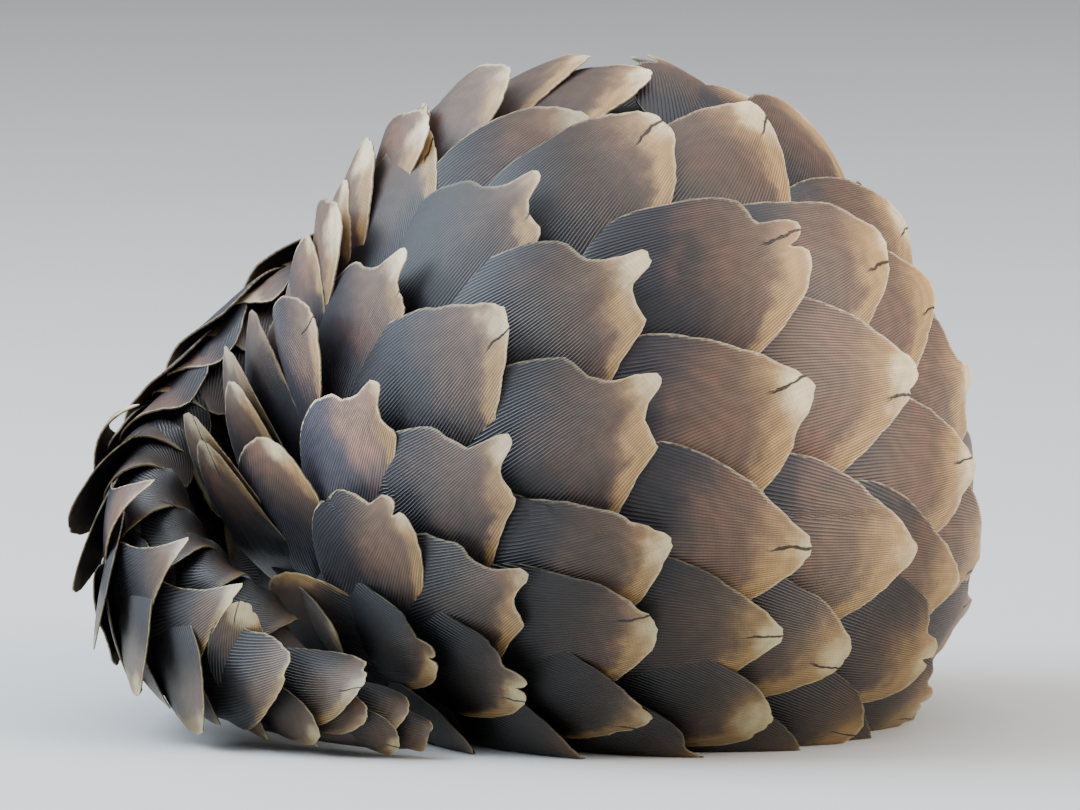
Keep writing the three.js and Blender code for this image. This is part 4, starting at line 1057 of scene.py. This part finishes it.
def on_tube(stations, at, up, across):
    """One place on a tube: how far along, then up and across as shares of the radii."""
    place, along, side, above, wide, deep = (v[0] for v in tube_frames(stations, np.array([float(at)])))
    return place + above * up * deep + side * across * wide, along, side, above


def thinned(radii):
    return (radii * THINNER - INSET)[:, None, None]


def add_tube(name, stations, rings):
    place, along, side, above, wide, deep = tube_frames(stations, np.linspace(0, len(stations) - 1, rings))
    turn = np.linspace(0, 2 * np.pi, TUBE_SIDES, endpoint=False)[None, :, None]
    points = place[:, None] + above[:, None] * np.cos(turn) * thinned(deep)
    points = points - side[:, None] * np.sin(turn) * thinned(wide)
    points[0] += along[0] * INSET
    points[-1] -= along[-1] * INSET
    made = bmesh.new()
    add_rings(made, points)
    return add_piece(name, mesh_of(made, name))


def add_ball(name, place, axes, radii, segments=BALL_SIDES):
    """A ball with its own radii along, to the side and up, applied so that it stays at the origin."""
    ball = new_shape(name, "uv_sphere", segments=segments, ring_count=segments // 2, radius=1)
    laid = place + (vertex_array(ball.data) * radii) @ np.array(axes)
    ball.data.vertices.foreach_set("co", (laid * MM).ravel())
    ball.data.update()
    return ball


def apply_modifier(piece, kind, **settings):
    bpy.context.view_layer.objects.active = piece
    modifier = piece.modifiers.new(kind, kind)
    for key, value in settings.items():
        setattr(modifier, key, value)
    bpy.ops.object.modifier_apply(modifier=modifier.name)


def join_and_remesh(pieces, name, voxel, smoothing):
    select(*pieces)
    bpy.ops.object.join()
    joined = bpy.context.object
    joined.name = name
    apply_modifier(joined, "REMESH", mode="VOXEL", voxel_size=voxel * MM)
    apply_modifier(joined, "SMOOTH", factor=SOFTEN, iterations=smoothing)
    return joined


# %% [markdown]
# The head starts as one tube with a ball for each pair of lids and a flat egg for each ear. On the fine
# skin of the remesh, folds are raised and pressed in by small waves and bells. The slit of the lids, the
# cup of the ear and the nostrils are pressed in with an egg, as a thumb would do in clay.

# %% Model the head and the legs
# Eyes, ears and nostrils: how far along the head, then up and across it, then their radii
EYE_AT, EYE_UP, EYE_SIDE, EYE_RADIUS = 3.1, 0.28, 0.86, 4.1
LID_RADIUS, LID_SLIT, LID_DUSK = 5.3, np.array([3.9, 4.0, 2.1]), 0.45
# Folds round the lids: how far out, how wide and how high
LID_FOLDS = [(1.25, 0.2, 0.30), (1.72, 0.2, -0.32), (2.1, 0.25, 0.20), (2.6, 0.25, -0.2)]
EAR_AT, EAR_UP, EAR_SIDE, EAR_RADII = 1.55, 0.3, 0.9, np.array([3.0, 4.4, 8.2])
EAR_CUP, EAR_CUP_SHAPE, EAR_CUP_OUT, EAR_DUSK = 0.66, (0.8, 0.9, 0.66), 0.5, 0.9
NOSTRIL_AT, NOSTRIL_UP, NOSTRIL_SIDE, NOSTRIL_RADII = 7.5, 0.12, 0.66, np.array([1.2, 1.3, 1.5])
NOSE_FROM, NOSE_OVER, NOSE_DUSK = 7.1, 0.7, 0.8
# Folds of the neck: height, waves along x, y and z, how they bend, and where on the head they end
FOLD_RISE, FOLD_WAVES, FOLD_BEND, FOLD_ENDS = 0.32, np.array([0.55, 0.95, 0.1]), (2.2, 7), 1.6
# Furrows of the brow: height, waves along the head, how they bend, and where they lie
FURROW_RISE, FURROW_WAVES, FURROW_BEND, FURROW_AT = 0.16, 11, (0.6, 3), (3.4, 1.1)
MOUTH_FROM, MOUTH_OVER, MOUTH_UP, MOUTH_DEEP, MOUTH_WIDE, MOUTH_DUSK = 5.0, 0.4, -0.42, 1.2, 0.45, 1.1
LIP_GAP, LIP_WIDE, LIP_PROUD = 1.5, 0.9, 0.35
HEAD_VOXEL, HEAD_RINGS, HEAD_SMOOTHING = 0.6, 150, 5
SOFTEN, FACE_SOFTEN = 0.5, 0.4
ISLAND_ANGLE, ISLAND_MARGIN = 70, 0.001
LEG_VOXEL, LEG_RINGS, LEG_SMOOTHING = 1.3, 70, 6
NEAREST_STEPS = 161
# How far out and in an egg takes hold of the skin, in shares of its radius
EGG_HOLD, EGG_BEHIND = 2.2, -1.8


def eye_place(side):
    return on_tube(HEAD, EYE_AT, EYE_UP, EYE_SIDE * SIDES[side])


def ear_place(side):
    return on_tube(HEAD, EAR_AT, EAR_UP, EAR_SIDE * SIDES[side])


def model_head():
    pieces = [add_tube("head_tube", np.concatenate([NECK[:2], HEAD]), HEAD_RINGS)]
    for side in SIDES:
        place, *axes = eye_place(side)
        pieces.append(add_ball("lids", place, axes, [LID_RADIUS] * 3))
        place, *axes = ear_place(side)
        pieces.append(add_ball("ear", place, axes, EAR_RADII))
    return join_and_remesh(pieces, "skin", HEAD_VOXEL, HEAD_SMOOTHING)


def model_legs():
    pieces = []
    for side in SIDES:
        for leg, foot in ((FORELEG, FOREFOOT), (HINDLEG, HINDFOOT)):
            pieces.append(add_tube("leg_tube", level(np.concatenate([leg[:-1], foot]), side), LEG_RINGS))
    return join_and_remesh(pieces, "legs", LEG_VOXEL, LEG_SMOOTHING)


def local(points, place, axes, radii):
    """Points in the directions of a place, in shares of three radii."""
    return (points - place) @ np.array(axes).T / radii


def carve(points, place, axes, radii, axis, toward):
    """Presses the points inside an egg against its far wall, as a thumb would in clay."""
    near = local(points, place, axes, radii)
    first, second = (i for i in range(3) if i != axis)
    flat_reach = 1 - near[:, first]**2 - near[:, second]**2
    reach = np.sqrt(np.maximum(flat_reach, 0))
    depth = near[:, axis] * toward
    inside = (flat_reach > 0) & (np.abs(depth) < EGG_HOLD) & (depth < reach) & (depth > EGG_BEHIND)
    push = np.where(inside, (toward * reach - near[:, axis]) * radii[axis], 0)
    return points + push[:, None] * axes[axis], inside


def nearest_on_head(points):
    """How far along the head each point lies, its own up and across, and the radii there."""
    at = np.linspace(0, len(HEAD) - 1, NEAREST_STEPS)
    place, _, side, above, _, deep = tube_frames(HEAD, at)
    i = ((points[:, None] - place[None]) ** 2).sum(-1).argmin(axis=1)
    off = points - place[i]
    return at[i], dot(off, above[i]), dot(off, side[i]), deep[i]


def model_face(head):
    """Lids, ears, nostrils, mouth line, lips and folds, pressed into the fine skin of the head."""
    mesh = head.data
    points = vertex_array(mesh) / MM
    normals = vertex_array(mesh, "normal")
    at, up, across, deep = nearest_on_head(points)
    bend, length = FOLD_BEND
    folds = np.sin(points @ FOLD_WAVES + bend * np.sin(points[:, 2] / length))
    rise = FOLD_RISE * folds * np.clip(FOLD_ENDS - at, 0, 1)
    bend, length = FURROW_BEND
    furrows = np.sin(at * FURROW_WAVES + bend * np.sin(across / length))
    rise += FURROW_RISE * furrows * bell(at, *FURROW_AT) * np.clip(up / deep, 0, 1)
    # Mouth line and lips
    mouth = np.clip((at - MOUTH_FROM) / MOUTH_OVER, 0, 1)
    off_line = up - MOUTH_UP * deep
    rise -= MOUTH_DEEP * mouth * bell(off_line, 0, MOUTH_WIDE)
    rise += LIP_PROUD * mouth * (bell(off_line, LIP_GAP, LIP_WIDE) + bell(off_line, -LIP_GAP, LIP_WIDE))
    # Dusk is painted shade, in the mouth line, round the lids, in the ear cups and in the nostrils
    dusk = mouth * bell(off_line, 0, MOUTH_DUSK)
    for side, sign in SIDES.items():
        # Lid rims and the folds round them
        place, *axes = eye_place(side)
        near = local(points, place, axes, (LID_SLIT[0], 1.0, LID_SLIT[2]))
        outside = np.clip(near[:, 1] * sign / 2, 0, 1)
        ring = np.sqrt(near[:, 0] ** 2 + near[:, 2] ** 2)
        rise += outside * sum(high * bell(ring, out, wide) for out, wide, high in LID_FOLDS)
        dusk = np.maximum(dusk, outside * bell(ring, 1.0, LID_DUSK))
    points = points + normals * rise[:, None]
    for side, sign in SIDES.items():
        place, *axes = eye_place(side)
        points, _ = carve(points, place + axes[1] * sign * LID_RADIUS, axes, LID_SLIT, 1, -sign)
        place, *axes = ear_place(side)
        cup = place - axes[0] * EAR_RADII[0] * EAR_CUP + axes[1] * sign * EAR_RADII[1] * EAR_CUP_OUT
        points, inside = carve(points, cup, axes, EAR_RADII * EAR_CUP_SHAPE, 0, 1)
        dusk[inside] = EAR_DUSK
        place, *axes = on_tube(HEAD, NOSTRIL_AT, NOSTRIL_UP, NOSTRIL_SIDE * sign)
        points, inside = carve(points, place, axes, NOSTRIL_RADII, 1, -sign)
        dusk[inside] = 1.0
    dusk = np.maximum(dusk, np.clip((at - NOSE_FROM) / NOSE_OVER, 0, 1) * NOSE_DUSK)
    mesh.vertices.foreach_set("co", (points * MM).ravel())
    set_values(mesh, "Dusk", dusk)
    mesh.update()
    apply_modifier(head, "SMOOTH", factor=FACE_SOFTEN, iterations=1)


def model_skin():
    head = model_head()
    model_face(head)
    legs = model_legs()
    select(head, legs)
    bpy.ops.object.join()
    bpy.ops.object.mode_set(mode="EDIT")
    bpy.ops.mesh.select_all(action="SELECT")
    bpy.ops.uv.smart_project(angle_limit=math.radians(ISLAND_ANGLE), island_margin=ISLAND_MARGIN)
    bpy.ops.object.mode_set(mode="OBJECT")
    head.data.uv_layers[0].name = "OFBake"
    bpy.ops.object.shade_smooth()
    return head


FLESH_NODES = ["neck", "head"] + [f"{part}_{side}" for side in SIDES for part in (
    "ear", "foreleg", "forefoot", "hindleg", "hindfoot")]
skin = model_skin()
place_piece(skin, bare_skin, "skin", *FLESH_NODES)
print("skin triangles:", sum(len(face.vertices) - 2 for face in skin.data.polygons))

# %% [markdown]
# Small scales cover the brow and the crown of the head. They are copies of the same plate, laid on the
# tube of the head, and they point to the neck. Then the flat plate is removed, as it was only the pattern.

# %% Scales of the brow
BROW_ROWS, BROW_ANGLES, BROW_EDGE = np.arange(0.7, 4.0, 0.42), 17, 46
BROW_SIZE, BROW_WIDE, BROW_SHRINK = 15.0, 12.5, 0.19
BROW_GROWTH = {"sink": 0.9, "roll": 0.35, "tone": 1.2}
BROW_LIFT, BROW_HEADING, BROW_SCATTER = 1.1, 180, (1, 5)


def head_surface(longitude, latitude):
    """The head by ten times the share along it, and degrees round it from its crown."""
    place, _, side, above, wide, deep = tube_frames(HEAD, longitude / 10)
    turn = np.radians(latitude)[:, None]
    return place + above * np.cos(turn) * thinned(deep)[:, 0] - side * np.sin(turn) * thinned(wide)[:, 0]


def brow_scales():
    specs = []
    for row, at in enumerate(BROW_ROWS):
        shrink = 1 - BROW_SHRINK * at / 2
        for angle in np.arange(-BROW_EDGE, BROW_EDGE + 1, BROW_ANGLES) + (row % 2) * BROW_ANGLES / 2:
            place = (at * 10, *scattered((angle, BROW_HEADING), BROW_SCATTER))
            specs.append(scale_spec(head_surface, place, (BROW_SIZE * shrink, BROW_WIDE * shrink),
                                    BROW_LIFT, "pointed" if row % 3 else "leaf", **BROW_GROWTH))
    return specs


place_piece(build_scales("scales_head", brow_scales()), keratin, "scute")
bpy.data.objects.remove(flat_plate)

# %% [markdown]
# The eyes are dark and wet. The claws are curved tubes of horn, long on the forefeet, which dig, and
# short on the hind feet.

# %% Eyes and claws
# Share across the foot, length and radius at the root
FORECLAWS = [(-0.85, 10, 2), (-0.48, 24, 3.2), (0, 30, 3.8), (0.48, 24, 3.2), (0.85, 10, 2)]
HINDCLAWS = [(-0.8, 8, 2), (-0.42, 11, 2.4), (0, 12, 2.6), (0.42, 11, 2.4), (0.8, 8, 2)]
# Count, then along and up in shares of the length, and thickness as a share of the radius
CLAW_STATIONS = np.array([(0, -0.25, 0, 1), (1, 0.2, 0.03, 0.95), (2, 0.6, -0.08, 0.65), (3, 1, -0.3, 0.16)])
# A claw is narrower than it is deep, and its underside is flatter than its back
CLAW_WIDE, CLAW_FLAT, CLAW_INSET = 0.8, 0.72, 0.1
CLAW_RINGS, CLAW_SIDES = 16, 20
CLAW_ROOT, CLAW_UP = 1.01, -0.1
CLAW_DARK, CLAW_PALE, CLAW_ROUGH = rgb(0.20, 0.145, 0.10), rgb(0.62, 0.50, 0.34), 0.38
TO_CLAW_PALE, CLOUD_SHARE, CLOUD_SCALE, SCRATCH_SCALE, SCRATCH_DEPTH = (0.3, 1.2), 0.4, 90.0, 900.0, 0.0001


def make_eye_material():
    g = Graph("wet_eye")
    for name, value in (("Base Color", rgb(0.012, 0.008, 0.006)), ("Roughness", 0.06),
                        ("Coat Weight", 1.0), ("Coat Roughness", 0.03)):
        g.set(name, value)
    return g.material


def make_claw_material():
    g = Graph("claw_horn")
    solid = g.solid()
    clouds = g.noise(solid, CLOUD_SCALE)
    pale = g.ramp(g.plus(g.attribute("Tip"), g.times(clouds, CLOUD_SHARE)), *TO_CLAW_PALE)
    return g.finish(g.mix(pale, CLAW_DARK, CLAW_PALE), CLAW_ROUGH,
                    [(g.noise(solid, SCRATCH_SCALE), SCRATCH_DEPTH)])


def claw_points(foot, across, length, radius):
    place, along, _, above = on_tube(foot, len(foot) - CLAW_ROOT, CLAW_UP, across)
    here = stations_at(CLAW_STATIONS, np.linspace(0, len(CLAW_STATIONS) - 1, CLAW_RINGS))[:, 1:]
    middle = place + (along * here[:, :1] + above * here[:, 1:2]) * length
    forward = unit(np.gradient(middle, axis=0))
    side = unit(UP - forward * forward[:, 2:3])
    up = np.cross(side, forward)
    thick = (radius * here[:, 2] * THINNER - CLAW_INSET)[:, None, None]
    turn = np.linspace(0, 2 * np.pi, CLAW_SIDES, endpoint=False)[None, :, None]
    rise = np.cos(turn)
    rise = np.where(rise < 0, rise * CLAW_FLAT, rise)
    return middle[:, None] + (up[:, None] * rise - side[:, None] * np.sin(turn) * CLAW_WIDE) * thick


def build_claws(name, foot, claws):
    made = bmesh.new()
    for claw in claws:
        add_rings(made, claw_points(foot, *claw))
    mesh = mesh_of(made, name)
    tips = np.tile(np.repeat(np.linspace(0, 1, CLAW_RINGS), CLAW_SIDES), len(claws))
    set_values(mesh, "Tip", tips)
    return add_piece(name, mesh, SHARP_SKIN)


wet_eye = make_eye_material()
claw_horn = make_claw_material()
for side in SIDES:
    place, *axes = eye_place(side)
    eye = add_ball(f"eyeball_{side}", place, axes, [EYE_RADIUS] * 3, EYE_SIDES)
    bpy.ops.object.shade_smooth()
    place_piece(eye, wet_eye, "eye", f"eye_{side}")
    for pair, foot, claws in (("fore", FOREFOOT, FORECLAWS), ("hind", HINDFOOT, HINDCLAWS)):
        piece = build_claws(f"claws_{pair}_{side}", level(foot, side), claws)
        place_piece(piece, claw_horn, "claw", *[f"{pair}claw_{side}_{i + 1}" for i in range(len(claws))])

# %% [markdown]
# The photograph was taken from close to the ground with a long lens, so the camera stands three metres
# away and six degrees above the floor.

# %% Camera
CAMERA_TARGET = Vector((5.68, -1.43, 116.6)) * MM
CAMERA_DISTANCE = 3.0
CAMERA_RISE = math.radians(6)
VIEW_WIDTH = 401.8 * MM
SENSOR, CLIP_START = 36.0, 0.05


def add_camera():
    data = bpy.data.cameras.new("camera")
    data.sensor_width = SENSOR
    data.lens = SENSOR * CAMERA_DISTANCE / VIEW_WIDTH
    data.clip_start = CLIP_START
    camera = add_piece("camera", data)
    back = Vector((0, -math.cos(CAMERA_RISE), math.sin(CAMERA_RISE)))
    camera.location = CAMERA_TARGET + back * CAMERA_DISTANCE
    camera.rotation_euler = (math.radians(90) - CAMERA_RISE, 0, 0)
    bpy.context.scene.camera = camera


add_camera()

# %% [markdown]
# The stage is a plain pale floor under soft lamps: a wide cool one overhead, as an open sky would give,
# one from the left as blue as the sky, and a warmer one from the right.

# %% Floor and light
FLOOR_SIZE = 24.0
FLOOR_DARK, FLOOR_PALE = rgb(0.62, 0.62, 0.615), rgb(0.68, 0.675, 0.67)
FLOOR_CLOUDS, FLOOR_ROUGH = (3.0, 2.0), 0.8
# Name, place, aim, size in metres, power in watts and colour
LAMPS = [
    ("ceiling", (0, 0.6, 4.5), (0, 0.6, 0), 7.0, 270.0, (0.95, 0.97, 1.0)),
    ("sky", (-1.9, 0.1, 1.5), (0, 0, 0.1), 1.8, 115.0, (0.74, 0.87, 1.0)),
    ("right", (2.3, -0.9, 1.2), (0, 0, 0.1), 1.6, 75.0, (1.0, 0.90, 0.78)),
]
WORLD_COLOUR, WORLD_STRENGTH = rgb(0.88, 0.92, 0.97), 0.32


def make_floor():
    floor = new_shape("floor", "plane", size=FLOOR_SIZE)
    g = Graph("pale_floor")
    g.set("Base Color", g.mix(g.noise(g.solid(), *FLOOR_CLOUDS), FLOOR_DARK, FLOOR_PALE))
    g.set("Roughness", FLOOR_ROUGH)
    floor.data.materials.append(g.material)


def add_lamp(name, place, aim, size, power, colour):
    data = bpy.data.lights.new(name, "AREA")
    data.size = size
    data.energy = power
    data.color = colour
    lamp = add_piece(name, data)
    lamp.location = place
    lamp.rotation_euler = (Vector(aim) - Vector(place)).to_track_quat("-Z", "Y").to_euler()


make_floor()
for lamp in LAMPS:
    add_lamp(*lamp)
world = bpy.data.worlds.new("studio")
world.use_nodes = True
background = world.node_tree.nodes["Background"].inputs
background["Color"].default_value = WORLD_COLOUR
background["Strength"].default_value = WORLD_STRENGTH
bpy.context.scene.world = world
